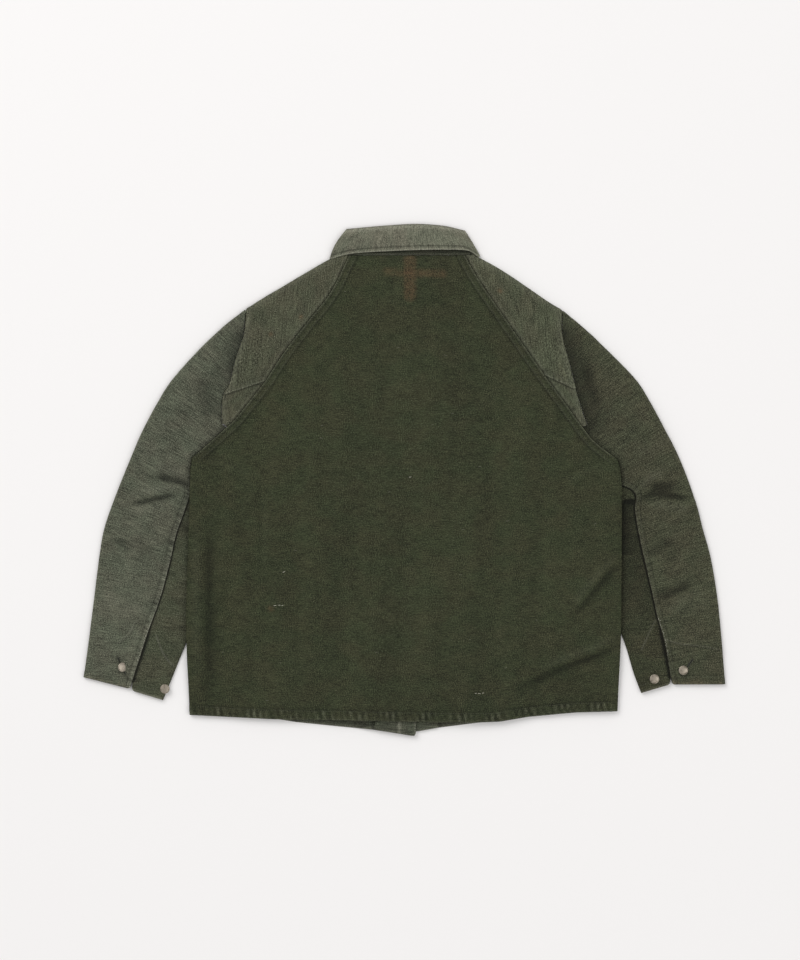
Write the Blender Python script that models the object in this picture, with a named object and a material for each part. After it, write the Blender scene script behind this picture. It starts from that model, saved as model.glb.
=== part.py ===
"""A cropped raglan work jacket of heavy cotton, lying flat with its back up.

The floor is z = 0 and +Y runs up the back to the collar. Places and sizes are in millimetres in the plan of
the garment as it lies, and they become metres where a mesh is made. Each piece of cloth is one closed wall,
the middle of the wall is a grid of points, and a piece that goes round an edge of the garment turns there
in a half circle and comes back below.
"""

import math

import bmesh
import bpy
import numpy as np

MM = 0.001
CLOTH = 1.5  # the wall of cloth
SEAM = 0.3  # the gap between two pieces that are sewn together or lie on each other
LAYER = CLOTH + SEAM
FLOOR = CLOTH / 2  # the middle of a wall that lies on the floor
LOFT = 2 * LAYER  # the back of the garment lies this far above its front
PLAN_CENTRE = (0.6, -1.38)  # middle of the outline below, which becomes the origin

# The cut of each side, read down from the neck. Left is the side at -X.
LEFT = {
    "side": -1,
    "raglan_upper": [(-79.3, 324.8), (-106.1, 271.3), (-140, 228), (-173, 185.2), (-201.1, 142.2)],
    "raglan_middle": [(-201.1, 142.2), (-227.8, 108.2), (-244, 88), (-256.5, 76)],
    "raglan_lower": [(-256.5, 76), (-277.1, 57.6), (-307.5, 31)],
    "shoulder": [(-93, 328), (-134.9, 303.8), (-184.2, 274.8), (-216, 256), (-227, 232), (-234, 205),
                 (-245, 172), (-252.9, 139.2), (-261.7, 124.4)],
    "underarm": [(-261.7, 124.4), (-264, 111), (-264.3, 97), (-263.8, 80)],
    "flank": [(-307.5, 31), (-309.9, 5), (-311.4, -60), (-315.5, -190), (-314, -262), (-310.3, -341)],
    "arm": [(-229, 248), (-262, 221.5), (-297.3, 187.8), (-336.4, 144.3), (-357, 112), (-378.5, 71.8),
            (-397.3, 28.3), (-420.5, -29.7), (-435, -73.2), (-442.3, -116.7), (-449.5, -174.7),
            (-456.8, -232.7), (-464.3, -286.7)],
    "back_seam": [(-310.6, -8), (-311, -24), (-320, -50.5), (-331.9, -80), (-342.2, -121.5), (-354.1, -171.8),
                  (-370.3, -219.1), (-381.1, -253.3), (-387.4, -272), (-393.4, -291)],
    "outer_corner": (-401.4, -302.4),
    "inner_corner": (-391.6, -308.2),
    "inner_edge": [(-302, -3), (-283, -30), (-268, -75), (-272, -118), (-290, -172), (-315.7, -236.9),
                   (-340.8, -299), (-349.6, -319.7)],
    "placket_edge": [(17, 257), (17, -372)],
    "front_hem": [(-310.3, -339), (-191.7, -346), (-156.2, -351.5), (-89.5, -358.2), (-42.9, -362.5), (17, -372)],
    "neckline": [(-79.3, 324.8), (-66, 289.5), (-42, 269.5), (-2, 258.5), (17, 257)],
    "snaps": [(-408.3, -271.7), (-346.4, -303.3)],
}
RIGHT = {
    "side": 1,
    "raglan_upper": [(88, 324.8), (108.2, 289.3), (143.6, 237.5), (175, 192), (203.4, 151.1)],
    "raglan_middle": [(203.4, 151.1), (228, 118), (250.9, 86.3), (258.5, 76)],
    "raglan_lower": [(258.5, 76), (277, 54), (309.5, 29)],
    "shoulder": [(99, 327), (140.7, 303.8), (184.2, 274.8), (209, 257.5), (216, 236), (219, 214),
                 (231, 190), (240, 165), (249, 132)],
    "underarm": [(249, 132), (253, 117), (259.6, 96.4), (265.6, 79)],
    "flank": [(309.5, 29), (314.6, 3), (315.6, -60), (314.9, -151.5), (314.1, -228.4), (309, -335.7)],
    "arm": [(229, 243), (263.9, 216.8), (298, 184), (336.4, 144.3), (357, 112), (378.5, 71.8),
            (400.2, 28.3), (422, -29.7), (433.6, -73.2), (445.2, -116.7), (453.9, -174.7),
            (458.2, -232.7), (465.5, -296.5)],
    "back_seam": [(314.9, -8), (329.2, -14), (336.4, -24), (334.6, -40), (337.4, -62.2), (344, -97), (351.6, -130.4),
                  (359.6, -165), (367, -199), (375.4, -227.9), (381, -255), (386, -286)],
    "outer_corner": (392, -297.2),
    "inner_corner": (380.6, -300.4),
    "inner_edge": [(306, -3), (285, -30), (269, -75), (273, -118), (291, -168), (314.7, -227.9),
                   (332.5, -281.3), (344.2, -309.4)],
    "placket_edge": [(-10, 258), (-10, -361)],
    "front_hem": [(309, -334), (249, -336), (179.2, -342), (109.5, -352.2), (49.6, -357.9), (-10, -361)],
    "neckline": [(88, 324.8), (74, 289.5), (50, 269.5), (10, 259), (-10, 258)],
    "snaps": [(404.7, -276.4), (362.8, -289)],
}
BACK_HEM = [(-310.3, -341), (-191.7, -347), (-90, -348.7), (49.6, -351.5), (110.2, -351.6), (138.3, -350.6),
            (179.2, -343.8), (249, -337.3), (309, -335.7)]

# The collar: the line it is folded on and its free edge, from the left side round the back to the right.
COLLAR_FOLD = [(-80.4, 359.6), (-33, 365.2), (16.5, 368.8), (58, 365.8), (85.6, 358.6)]
COLLAR_EDGE = [(-102.8, 321.8), (-83.2, 325.6), (-33.8, 328.6), (14.9, 331.8), (74.7, 330.2), (102.6, 325.6)]
FRONT_FOLD = [(-80.4, 359.6), (-66, 335), (-54, 315), (-45, 300)]
FRONT_EDGE = [(-102.8, 321.8), (-111, 290), (-100, 250), (-75, 213)]
BAND_TOP = [(-77, 354.5), (-33, 361), (16.5, 364.4), (58, 361.4), (82, 353.5)]
BAND_SEAM = [(-90, 331.4), (-79, 325.8), (5, 325.3), (88, 325.8), (95.5, 330.6)]
FRONT_BAND_TOP = [(-77, 354.5), (-71, 333), (-59, 311), (-46, 295), (-25, 287), (-2, 285)]
FRONT_BAND_SEAM = [(-90, 331.4), (-73, 328), (-59.5, 298), (-40, 275), (-2, 263)]
FRONT_SHIFT = 5.2  # the front of the collar is drawn for the left and mirrored about this line

# Folds in the cloth: their line, half width and height above or below the cloth beside them.
BACK_FOLDS = [
    ([(-301, -45), (-299, -180), (-297, -318)], 10, 1.9),
    ([(-283, -60), (-284, -190), (-285, -325)], 10, -1.2),
    ([(-209, -10), (-209, -95), (-211, -150)], 9, 0.8),
    ([(311, -118), (285, -150), (250, -194)], 13, -1.1),
    ([(312, -237), (278, -254), (220, -276), (172, -302)], 14, -1.2),
]
SLEEVE_FOLDS = [
    ([(-385, 10), (-345, -2), (-318, 0)], 8, -1.1),
    ([(-385, -24), (-350, -30), (-326, -26)], 8, 1.0),
    ([(412, -6), (370, -20), (345, -12)], 8, -1.1),
    ([(405, -36), (372, -46), (346, -40)], 8, 1.0),
]

SNAP_RADIUS = 7.25
SNAP_PROFILE = [(0, 0), (5.2, 0), (5.2, 0.5), (7.25, 0.7), (7.25, 1.4), (6.4, 2.1), (4, 2.5), (0, 2.6)]
SNAP_SIDES = 20

DARK_OLIVE = (57, 60, 45)
SLEEVE_OLIVE = (82, 84, 70)
COLLAR_OLIVE = (112, 113, 100)
OLD_SILVER = (150, 142, 130)


def curve(points, fractions):
    """A smooth curve through the points, each stretch a cubic, read at fractions of its length."""
    p = np.array(points, float)
    ends = np.vstack([2 * p[0] - p[1], p, 2 * p[-1] - p[-2]])
    t = np.linspace(0, 1, 13)[:-1, None]
    runs = [
        0.5 * (2 * b + (c - a) * t + (2 * a - 5 * b + 4 * c - d) * t**2 + (3 * b - a - 3 * c + d) * t**3)
        for a, b, c, d in zip(ends, ends[1:], ends[2:], ends[3:])
    ]
    line = np.vstack(runs + [p[-1:]])
    along = np.concatenate([[0], np.cumsum(np.linalg.norm(np.diff(line, axis=0), axis=1))])
    reach = np.asarray(fractions) * along[-1]
    return np.column_stack([np.interp(reach, along, line[:, k]) for k in range(2)])


def even(points, count):
    return curve(points, np.linspace(0, 1, count))


def sideways(line):
    """The unit vectors across a line in plan."""
    step = np.gradient(line, axis=0)
    step /= np.linalg.norm(step, axis=1, keepdims=True)
    return np.column_stack([-step[:, 1], step[:, 0]])


def inward(line, side, distance):
    """A line that runs down one side, moved this far towards the middle of the garment."""
    return line - side * distance * sideways(line)


def smooth(x):
    x = np.clip(x, 0, 1)
    return x * x * (3 - 2 * x)


def distance(x, y, points):
    """How far each place in plan is from the line through the points."""
    nearest = np.full(np.shape(x), np.inf)
    for (ax, ay), (bx, by) in zip(points, points[1:]):
        dx, dy = bx - ax, by - ay
        t = np.clip(((x - ax) * dx + (y - ay) * dy) / (dx * dx + dy * dy), 0, 1)
        nearest = np.minimum(nearest, np.hypot(x - ax - t * dx, y - ay - t * dy))
    return nearest


def folded(x, y, folds):
    """The height that the folds add: each is a smooth ridge or trough along its line."""
    return sum(height * np.exp(-((distance(x, y, line) / width) ** 2)) for line, width, height in folds)


def across_at(points, y):
    """The x of a line that runs down a side, at height y in the plan."""
    p = np.array(points)[::-1]
    return np.interp(y, p[:, 1], p[:, 0])


def side_lift(x, y):
    """1 where the body lies on the inner part of a sleeve and 0 where it lies on the floor."""
    lift = 0
    for cut in (LEFT, RIGHT):
        reach = cut["side"] * (across_at(cut["inner_edge"], y) - cut["side"] * 40)
        lift = lift + smooth((cut["side"] * x - reach) / 26) * smooth((31 - y) / 24)
    return np.clip(lift, 0, 1)


def neck_lift(x, y):
    """1 where the front lies on the folded-down front of the collar."""
    spine = [(-92, 322), (-84, 270), (-72, 222)]
    mirrored = [(2 * FRONT_SHIFT - a, b) for a, b in spine]
    near = np.minimum(distance(x, y, spine), distance(x, y, mirrored))
    return smooth((62 - near) / 20)


def lower_height(x, y):
    """The middle of the lower wall of the body and shoulders."""
    return FLOOR + LAYER * neck_lift(x, y) + LOFT * side_lift(x, y)


def left_front_height(x, y):
    """The left front, which lies on the edge of the right front at the middle."""
    over = LOFT * smooth((x + 75) / 28)
    return FLOOR + np.maximum(over, LAYER * neck_lift(x, y)) + LOFT * side_lift(x, y)


def upper_height(x, y):
    """The middle of the back: over the plackets it is raised, and over the inner sleeves."""
    plackets = smooth((170 - np.abs(x - 3)) / 72) * smooth((320 - y) / 42)
    return FLOOR + LOFT * (1 + plackets + side_lift(x, y))


def sleeve_height(x, y):
    """The upper wall of a sleeve: pressed flat beside and under the body, and looser further out."""
    free = np.full(np.shape(x), np.inf)
    for cut in (LEFT, RIGHT):
        line = cut["shoulder"][4:] + cut["underarm"][1:] + cut["raglan_lower"][1:] + cut["flank"][1:]
        under = (cut["side"] * (x - across_at(cut["flank"], y)) < 0) & (y < cut["flank"][0][1]) & (cut["side"] * x > 0)
        free = np.minimum(free, np.where(under, 0, distance(x, y, line)))
    loose = smooth((free - 12) / 26)
    return FLOOR + LAYER + LAYER * loose + loose * folded(x, y, SLEEVE_FOLDS)


def on_floor(x, y):
    return np.full(np.shape(x), FLOOR)


def laid(rows, height):
    """A grid of places in plan given its heights."""
    return np.dstack([rows, height(rows[..., 0], rows[..., 1])])


def wrapped(top, fold, bottom, upper, lower, steps, turn=4):
    """The middle of a wall that lies from the line top to the line fold, turns under there and lies below
    as far as the line bottom. steps are the fractions of the way from an edge to the fold."""
    out = sideways(fold)
    out *= np.sign(np.sum(out * (fold - top), axis=1, keepdims=True))
    high, low = upper(*fold.T), lower(*fold.T)
    radius = (high - low) / 2
    centre = fold - out * (radius + CLOTH / 2)[:, None]
    steps = np.asarray(steps)[None, :, None]
    above = laid(top[:, None] + (centre - top)[:, None] * steps, upper)
    below = laid(bottom[:, None] + (centre - bottom)[:, None] * steps[:, ::-1], lower)
    radius = (above[:, -1, 2] - below[:, 0, 2]) / 2
    middle = (above[:, -1, 2] + below[:, 0, 2]) / 2
    angle = np.linspace(0, math.pi, turn + 1)[1:-1]
    plan = centre[:, None] + out[:, None] * (radius[:, None] * np.sin(angle))[..., None]
    round_ = np.dstack([plan, middle[:, None] + radius[:, None] * np.cos(angle)])
    return np.concatenate([above, round_, below], axis=1)


def directions(grid, axis):
    """Unit steps along one axis of a grid, each the mean of the step before and after it."""
    step = np.diff(grid, axis=axis)
    step /= np.linalg.norm(step, axis=-1, keepdims=True)
    first, last = np.take(step, [0], axis=axis), np.take(step, [-1], axis=axis)
    before = np.concatenate([first, step], axis=axis)
    after = np.concatenate([step, last], axis=axis)
    return before + after


def material(name, colour, roughness, metallic=0.0):
    made = bpy.data.materials.new(name)
    made.use_nodes = True
    shader = made.node_tree.nodes["Principled BSDF"]
    share = [c / 255 for c in colour]
    linear = [c / 12.92 if c <= 0.04045 else ((c + 0.055) / 1.055) ** 2.4 for c in share]
    shader.inputs["Base Color"].default_value = (*linear, 1)
    shader.inputs["Roughness"].default_value = roughness
    shader.inputs["Metallic"].default_value = metallic
    return made


def add(name, mesh_data, finish):
    mesh = bpy.data.meshes.new(name)
    mesh_data.to_mesh(mesh)
    mesh_data.free()
    mesh.shade_smooth()
    mesh.set_sharp_from_angle(angle=math.radians(40))
    mesh.materials.append(finish)
    bpy.context.scene.collection.objects.link(bpy.data.objects.new(name, mesh))


def in_metres(points):
    return (points - [*PLAN_CENTRE, 0]) * MM


def cloth(name, middle, colour):
    """A closed wall on both sides of a grid of middle points."""
    normal = np.cross(directions(middle, 0), directions(middle, 1))
    normal /= np.linalg.norm(normal, axis=2, keepdims=True)
    faces_out = in_metres(np.stack([middle + normal * CLOTH / 2, middle - normal * CLOTH / 2]))
    rows, columns = middle.shape[:2]
    index = np.arange(2 * rows * columns).reshape(2, rows, columns)
    built = bmesh.new()
    points = [built.verts.new(p) for p in faces_out.reshape(-1, 3)]
    for layer in index:
        for quad in zip(layer[:-1, :-1].flat, layer[1:, :-1].flat, layer[1:, 1:].flat, layer[:-1, 1:].flat):
            built.faces.new([points[i] for i in quad])
    edge = [*zip([0] * (columns - 1), range(columns - 1)), *zip(range(rows - 1), [columns - 1] * (rows - 1)),
            *zip([rows - 1] * (columns - 1), range(columns - 1, 0, -1)), *zip(range(rows - 1, 0, -1), [0] * (rows - 1))]
    for (r0, c0), (r1, c1) in zip(edge, edge[1:] + edge[:1]):
        built.faces.new([points[index[k]] for k in ((0, r0, c0), (0, r1, c1), (1, r1, c1), (1, r0, c0))])
    bmesh.ops.recalc_face_normals(built, faces=built.faces)
    add(name, built, material(name, colour, 0.9))


def body_lines(cut):
    """The stations down one side of the body, which every piece that meets it shares."""
    upper = even(cut["raglan_upper"], 8)
    middle = even(cut["raglan_middle"], 4)
    lower = even(cut["raglan_lower"], 3)
    flank = curve(cut["flank"], [0, 0.07, 0.16, 0.28, 0.4, 0.52, 0.64, 0.76, 0.86, 0.94, 1])
    return upper, middle, lower, flank


def panel_edge(cut):
    upper, middle, lower, flank = body_lines(cut)
    line = np.vstack([upper, middle[1:], lower[1:], flank[1:]])
    return inward(line, cut["side"], SEAM / 2)


def spread(width, left, right, count):
    """Places across a row of this width: set distances from each edge, and the rest evenly between."""
    left = np.array(left) * min(1, 0.42 * width / left[-1])
    right = np.array(right) * min(1, 0.42 * width / right[-1])
    between = np.linspace(left[-1], width - right[-1], count + 2)[1:-1]
    return np.concatenate([left, between, width - right[::-1]])


def rows_between(a, b, left, right, count):
    widths = np.linalg.norm(b - a, axis=1)
    return np.array([p + (q - p) * (spread(w, left, right, count) / w)[:, None] for p, q, w in zip(a, b, widths)])


def bend(rows, row, line, reach):
    """Bends a row of the grid onto a line, and the rows near it in proportion, over this distance."""
    x, y = rows[row, :, 0], rows[row, :, 1]
    order = np.argsort([p[0] for p in line])
    sorted_line = np.array(line)[order]
    sag = np.interp(x, sorted_line[:, 0], sorted_line[:, 1]) - y
    away = np.abs(rows[:, :, 1] - y[None])
    away[row] = 0
    rows[..., 1] += sag[None] * smooth(1 - away / reach)


def back_panel():
    """The back: one panel from the neck to the hem, rolled down to the fronts along its sides."""
    left, right = panel_edge(LEFT), panel_edge(RIGHT)
    rows = rows_between(left, right, [0, 4, 9, 18, 28, 40, 54], [0, 4, 9, 22], 9)
    bend(rows, -1, BACK_HEM, 110)
    x, y = rows[..., 0], rows[..., 1]
    reach = np.minimum(x - rows[:, :1, 0], rows[:, -1:, 0] - x)
    roll = 0.95 * LAYER * (1 - np.clip(reach / 9, 0, 1)) ** 2 * smooth((31 - y) / 26)
    height = upper_height(x, y) - roll + smooth(reach / 9) * folded(x, y, BACK_FOLDS)
    cloth("back_panel", np.dstack([rows, height]), DARK_OLIVE)


def front_panel(cut, name, height):
    """A front and the facing inside its edge, which is made from the front's own points, moved up."""
    edge = panel_edge(cut)
    centre = curve(cut["placket_edge"], np.linspace(0, 1, len(edge)))
    rows = rows_between(edge, centre, [0, 14, 28, 42, 56, 72, 92], [0, 30, 60, 74, 92], 2)
    bend(rows, 0, cut["neckline"], 120)
    bend(rows, -1, cut["front_hem"], 110)
    grid = laid(rows, height)
    cloth(f"front_{name}", grid, SLEEVE_OLIVE)
    facing = grid[:, -3:].copy()
    facing[..., 2] += LAYER
    cloth(f"facing_{name}", facing, SLEEVE_OLIVE)


def shoulder(cut, name):
    """The upper raglan piece and the small piece under it, which go round the shoulder to the front."""
    upper, middle, _, _ = body_lines(cut)
    seam = inward(np.vstack([upper, middle[1:]]), cut["side"], -SEAM / 2)
    fold = np.vstack([even(cut["shoulder"], 8), even(cut["underarm"], 4)[1:]])
    grid = wrapped(seam, fold, seam, upper_height, lower_height, [0, 0.12, 0.4, 0.7, 1])
    joint = len(upper) - 1
    for piece, rows, end in (("shoulder", grid[: joint + 1].copy(), -1), ("underarm", grid[joint:].copy(), 0)):
        away = rows[end] - rows[-2 if end else 1]
        rows[end] -= away * (SEAM / 2 / np.linalg.norm(away, axis=1, keepdims=True))
        cloth(f"{piece}_{name}", rows, SLEEVE_OLIVE)


def sleeve(cut, name):
    """The outer piece round the outside of the arm, and the under piece round its inside."""
    side = cut["side"]
    _, _, lower, flank = body_lines(cut)
    fold_edge = np.vstack([even(cut["shoulder"], 8)[4:], even(cut["underarm"], 4)[1:]])
    beside_body = np.vstack([lower[1:], flank[1:2]])
    seam = even(cut["back_seam"], 10)
    inner_line = np.vstack([
        inward(fold_edge, side, -0.5),
        inward(beside_body, side, -0.6),
        inward(seam, side, -SEAM / 2),
        [cut["outer_corner"]],
    ])
    along = np.concatenate([[0], np.cumsum(np.linalg.norm(np.diff(inner_line, axis=0), axis=1))])
    outer = wrapped(inner_line, curve(cut["arm"], along / along[-1]), inner_line, sleeve_height, on_floor,
                    [0, 0.08, 0.18, 0.34, 0.55, 0.8, 1])
    cloth(f"sleeve_outer_{name}", outer, SLEEVE_OLIVE)
    seam_line = np.vstack([inward(seam, side, SEAM / 2), [cut["inner_corner"]]])
    fold = even(cut["inner_edge"], len(seam_line))
    under = wrapped(seam_line, fold, seam_line, sleeve_height, on_floor, [0, 0.3, 0.65, 1])
    cloth(f"sleeve_under_{name}", under, SLEEVE_OLIVE)


def ring(back_line, front_line, counts, high, low, turn=4):
    """A line of the collar: up the left front, over the back and down the right front, with a half circle
    where it passes from one to the other."""
    front = even(front_line, counts[0])[::-1]
    back = even(back_line, counts[1])
    shift = [2 * FRONT_SHIFT, 0]
    other = front[::-1] * [-1, 1] + shift
    right_end = back[-1]
    other += (right_end - other[0]) * np.linspace(1, 0, len(other))[:, None] ** 2
    radius, middle = (high - low) / 2, (high + low) / 2
    angle = np.linspace(0, math.pi, turn + 1)[1:-1]
    out = np.array([-0.87, 0.5])
    left_turn = np.column_stack([back[0] + out * radius * np.sin(angle)[:, None], middle - radius * np.cos(angle)])
    right_turn = np.column_stack([right_end + out * [-1, 1] * radius * np.sin(angle)[:, None],
                                  middle + radius * np.cos(angle)])
    flat = lambda line, z: np.column_stack([line, np.full(len(line), z)])
    return np.vstack([flat(front, low), left_turn, flat(back, high), right_turn, flat(other, low)])


def collar():
    """The neck band, and the collar folded down over it; both lie as a flattened ring, open at the front."""
    counts = (6, 10)
    band_levels = (FLOOR + LOFT, FLOOR + LAYER)
    top = ring(BAND_TOP, FRONT_BAND_TOP, counts, *band_levels)
    seam = ring(BAND_SEAM, FRONT_BAND_SEAM, counts, *band_levels)
    share = np.array([0, 0.5, 1])[None, :, None]
    cloth("neck_band", top[:, None] + (seam - top)[:, None] * share, SLEEVE_OLIVE)
    collar_levels = (FLOOR + LOFT + LAYER, FLOOR)
    fold = ring(COLLAR_FOLD, FRONT_FOLD, counts, *collar_levels)
    edge = ring(COLLAR_EDGE, FRONT_EDGE, counts, *collar_levels)
    share = np.array([0, 0.04, 0.1, 0.35, 0.65, 1])[None, :, None]
    grid = fold[:, None] + (edge - fold)[:, None] * share
    middle, half = sum(collar_levels) / 2, (collar_levels[0] - collar_levels[1]) / 2
    facing_up = np.clip((grid[..., 2] - middle) / half, 0, 1)
    grid[..., 2] -= 2.2 * facing_up * (1 - np.clip(share[..., 0] / 0.1, 0, 1)) ** 2
    cloth("collar", grid, COLLAR_OLIVE)


def snap(name, place):
    """A snap cap: a turned profile on a short post, seated on the cloth of the cuff."""
    base = FLOOR + LOFT + CLOTH / 2 + SEAM
    built = bmesh.new()
    profile = [built.verts.new((r * MM, 0, z * MM)) for r, z in SNAP_PROFILE]
    edges = [built.edges.new(pair) for pair in zip(profile, profile[1:])]
    bmesh.ops.spin(built, geom=profile + edges, cent=(0, 0, 0), axis=(0, 0, 1), angle=2 * math.pi,
                   steps=SNAP_SIDES, use_duplicate=False)
    bmesh.ops.remove_doubles(built, verts=built.verts, dist=1e-6)
    bmesh.ops.translate(built, verts=built.verts, vec=in_metres(np.array([*place, base])))
    bmesh.ops.recalc_face_normals(built, faces=built.faces)
    add(name, built, material(name, OLD_SILVER, 0.4, 1.0))


def main():
    for old in list(bpy.data.objects):
        bpy.data.objects.remove(old, do_unlink=True)
    back_panel()
    front_panel(LEFT, "left", left_front_height)
    front_panel(RIGHT, "right", lower_height)
    for cut, name in ((LEFT, "left"), (RIGHT, "right")):
        shoulder(cut, name)
        sleeve(cut, name)
        for place, where in zip(cut["snaps"], ("outer", "inner")):
            snap(f"snap_{name}_{where}", place)
    collar()


main()
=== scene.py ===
import bpy
import numpy as np
from mathutils.bvhtree import BVHTree
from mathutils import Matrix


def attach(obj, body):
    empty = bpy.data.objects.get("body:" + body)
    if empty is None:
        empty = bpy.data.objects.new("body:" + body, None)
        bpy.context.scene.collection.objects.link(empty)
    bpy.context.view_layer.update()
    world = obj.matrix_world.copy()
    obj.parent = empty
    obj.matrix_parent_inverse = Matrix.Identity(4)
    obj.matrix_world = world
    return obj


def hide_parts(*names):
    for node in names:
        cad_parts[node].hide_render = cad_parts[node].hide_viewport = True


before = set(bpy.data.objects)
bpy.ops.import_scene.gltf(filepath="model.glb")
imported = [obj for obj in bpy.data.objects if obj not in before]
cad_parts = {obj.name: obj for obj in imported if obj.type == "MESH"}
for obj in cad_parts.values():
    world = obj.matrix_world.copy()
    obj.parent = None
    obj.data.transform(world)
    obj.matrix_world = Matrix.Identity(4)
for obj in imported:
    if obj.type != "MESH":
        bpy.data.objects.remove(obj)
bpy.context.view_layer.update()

# Sizes that every piece shares
garment = {
    "cloth": 1.4,  # thickness of one layer
    "cadCloth": 1.5,  # what the frame allows for a layer
    "seamGap": 0.3,
    "rim": 0.12,  # how far the rounded rim stands out
    "centre": (0.6, -1.38),  # middle of the outline in plan, which is the origin
    "rumple": 2.2,  # how uneven the loose cloth lies: broad hills, and small ones
    "smallRumple": 0.45,
}
floorLevel = garment["cadCloth"] / 2
layer = garment["cadCloth"] + garment["seamGap"]
loft = 2 * layer

# The cut of each side, its lines read down from the neck. The tones in it:
#   foldShade   painted shade on the sleeve by the shoulder's fold: how dark, how far that reaches, its share low down
#   seamWear    how pale the edge of the sleeve's back seam is worn
#   ventDark    level, length and width of the painted shade in the cuff's vent
#   underShade  painted shade on the under sleeve beside the body, at its top and all over
leftCut = {
    "side": -1,
    "sleeveTop": (-229.9, 240),  # where the outer sleeve begins on the fold of the shoulder piece
    "raglanUpper": [(-79.3, 324.8), (-106.1, 271.3), (-140, 228), (-173, 185.2), (-201.1, 142.2)],
    "raglanMiddle": [(-201.1, 142.2), (-227.8, 108.2), (-244, 88), (-256.5, 76)],
    "raglanLower": [(-256.5, 76), (-277.1, 57.6), (-307.5, 31)],
    "shoulder": [(-93, 328), (-134.9, 303.8), (-184.2, 274.8), (-212, 258.2), (-222.5, 251.3),
                 (-228.5, 247.5), (-230, 240), (-230.8, 228), (-234, 205),
                 (-245, 172), (-252.9, 139.2), (-261.7, 124.4)],
    "underarm": [(-261.7, 124.4), (-264, 111), (-264.3, 97), (-263.8, 80)],
    "flank": [(-307.5, 31), (-309.9, 5), (-311.4, -60), (-315.5, -190), (-314, -262), (-310.3, -341)],
    "arm": [(-230.6, 246.2), (-262, 221.5), (-297.3, 187.8), (-336.4, 144.3), (-357, 112), (-378.5, 71.8),
            (-397.3, 28.3), (-420.5, -29.7), (-435, -73.2), (-442.3, -116.7), (-449.5, -174.7),
            (-456.8, -232.7), (-464.3, -286.7)],
    "backSeam": [(-310.6, -8), (-311, -24), (-320, -50.5), (-331, -82), (-339.8, -121.5), (-353.3, -171.8),
                 (-370.3, -219.1), (-381.1, -253.3), (-387.4, -272), (-393.4, -291)],
    "outerCorner": (-396.8, -303.4),
    "innerCorner": (-394.2, -306),
    "innerEdge": [(-302, -3), (-283, -30), (-268, -75), (-272, -118), (-290, -172), (-315.7, -236.9),
                  (-340.8, -299), (-349.6, -319.7)],
    "placketEdge": [(17, 257), (17, -372)],
    "frontHem": [(-310.3, -339), (-191.7, -346), (-156.2, -351.5), (-89.5, -358.2), (-42.9, -362.5),
                 (17, -372)],
    "neckline": [(-79.3, 324.8), (-66, 289.5), (-42, 269.5), (-2, 258.5), (17, 257)],
    "armpitGap": (-318, -12),  # middle of the painted shade in the gap where the under sleeve comes out
    "corner": 4.5,  # radius of the cuff's corners
    "foldShade": (0.85, 20, 0.3),
    "seamWear": 0.6,
    "ventDark": (-240, 11, 3.6),
    "underShade": (0.2, 0.15, 0.0),
    "snaps": [(-408.3, -271.7), (-346.4, -303.3)],
    "slit": [(-414.8, -257.5), (-403.2, -283)],  # the buttonhole in the cuff
    # the rows of stitches beside the vent, on the outer and on the under sleeve
    "ventStitch": [(-414.7, -237), (-404, -229), (-396, -219.4), (-390.5, -209), (-385, -203)],
    "flapStitch": [(-358.5, -226), (-351, -247.5), (-342.6, -261.5), (-334.5, -269)],
}
rightCut = {
    "side": 1,
    "sleeveTop": (229.5, 238.6),
    "raglanUpper": [(88, 324.8), (108.2, 289.3), (143.6, 237.5), (175, 192), (203.4, 151.1)],
    "raglanMiddle": [(203.4, 151.1), (228, 118), (250.9, 86.3), (258.5, 76)],
    "raglanLower": [(258.5, 76), (277, 54), (309.5, 29)],
    "shoulder": [(99, 327), (140.7, 303.8), (184.2, 274.8), (208, 258.5), (220.5, 250.9),
                 (228.3, 246.2), (229.6, 239), (229, 222), (230.5, 204), (234, 190), (241, 165), (249, 132)],
    "underarm": [(249, 132), (253, 117), (259.6, 96.4), (265.6, 79)],
    "flank": [(309.5, 29), (314.6, 3), (315.6, -60), (314.9, -151.5), (314.1, -228.4), (309, -335.7)],
    "arm": [(230.4, 244.8), (263.9, 216.8), (298, 184), (336.4, 144.3), (357, 112), (378.5, 71.8),
            (400.2, 28.3), (422, -29.7), (433.6, -73.2), (445.2, -116.7), (454.6, -174.7),
            (460.4, -232.7), (465.5, -296.5)],
    "backSeam": [(314.9, -8), (329.2, -14), (336.4, -24), (334.6, -40), (337.4, -62.2), (344, -97),
                 (351.6, -130.4), (359.6, -165), (367, -199), (375.4, -227.9), (381, -255), (386, -286)],
    "outerCorner": (389.2, -297),
    "innerCorner": (385, -297),
    "innerEdge": [(306, -3), (285, -30), (269, -75), (273, -118), (291, -168), (317.6, -231),
                  (333.2, -281.3), (344.2, -309.4)],
    "placketEdge": [(-10, 258), (-10, -361)],
    "frontHem": [(309, -334), (249, -336), (179.2, -342), (109.5, -352.2), (49.6, -359.6), (22, -364.6),
                 (-10, -368.5)],
    "neckline": [(88, 324.8), (74, 289.5), (50, 269.5), (10, 259), (-10, 258)],
    "armpitGap": (327, -31),
    "corner": 3.2,
    "foldShade": (1.0, 23, 0.92),
    "seamWear": 0.25,
    "ventDark": (-236, 20, 5.5),
    "underShade": (0.3, 0.55, 0.35),
    "snaps": [(404.7, -276.4), (362.8, -289)],
    "slit": [(402, -283), (418.8, -260)],
    "ventStitch": [(374, -230), (400, -238), (429, -241), (462, -247)],
    "flapStitch": [(364, -204), (355, -222), (344, -247)],
}
backHem = [(-310.3, -341), (-191.7, -347), (-90, -348.7), (49.6, -351.5), (110.2, -351.6), (138.3, -350.6),
           (179.2, -343.8), (249, -337.3), (309, -335.7)]

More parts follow.
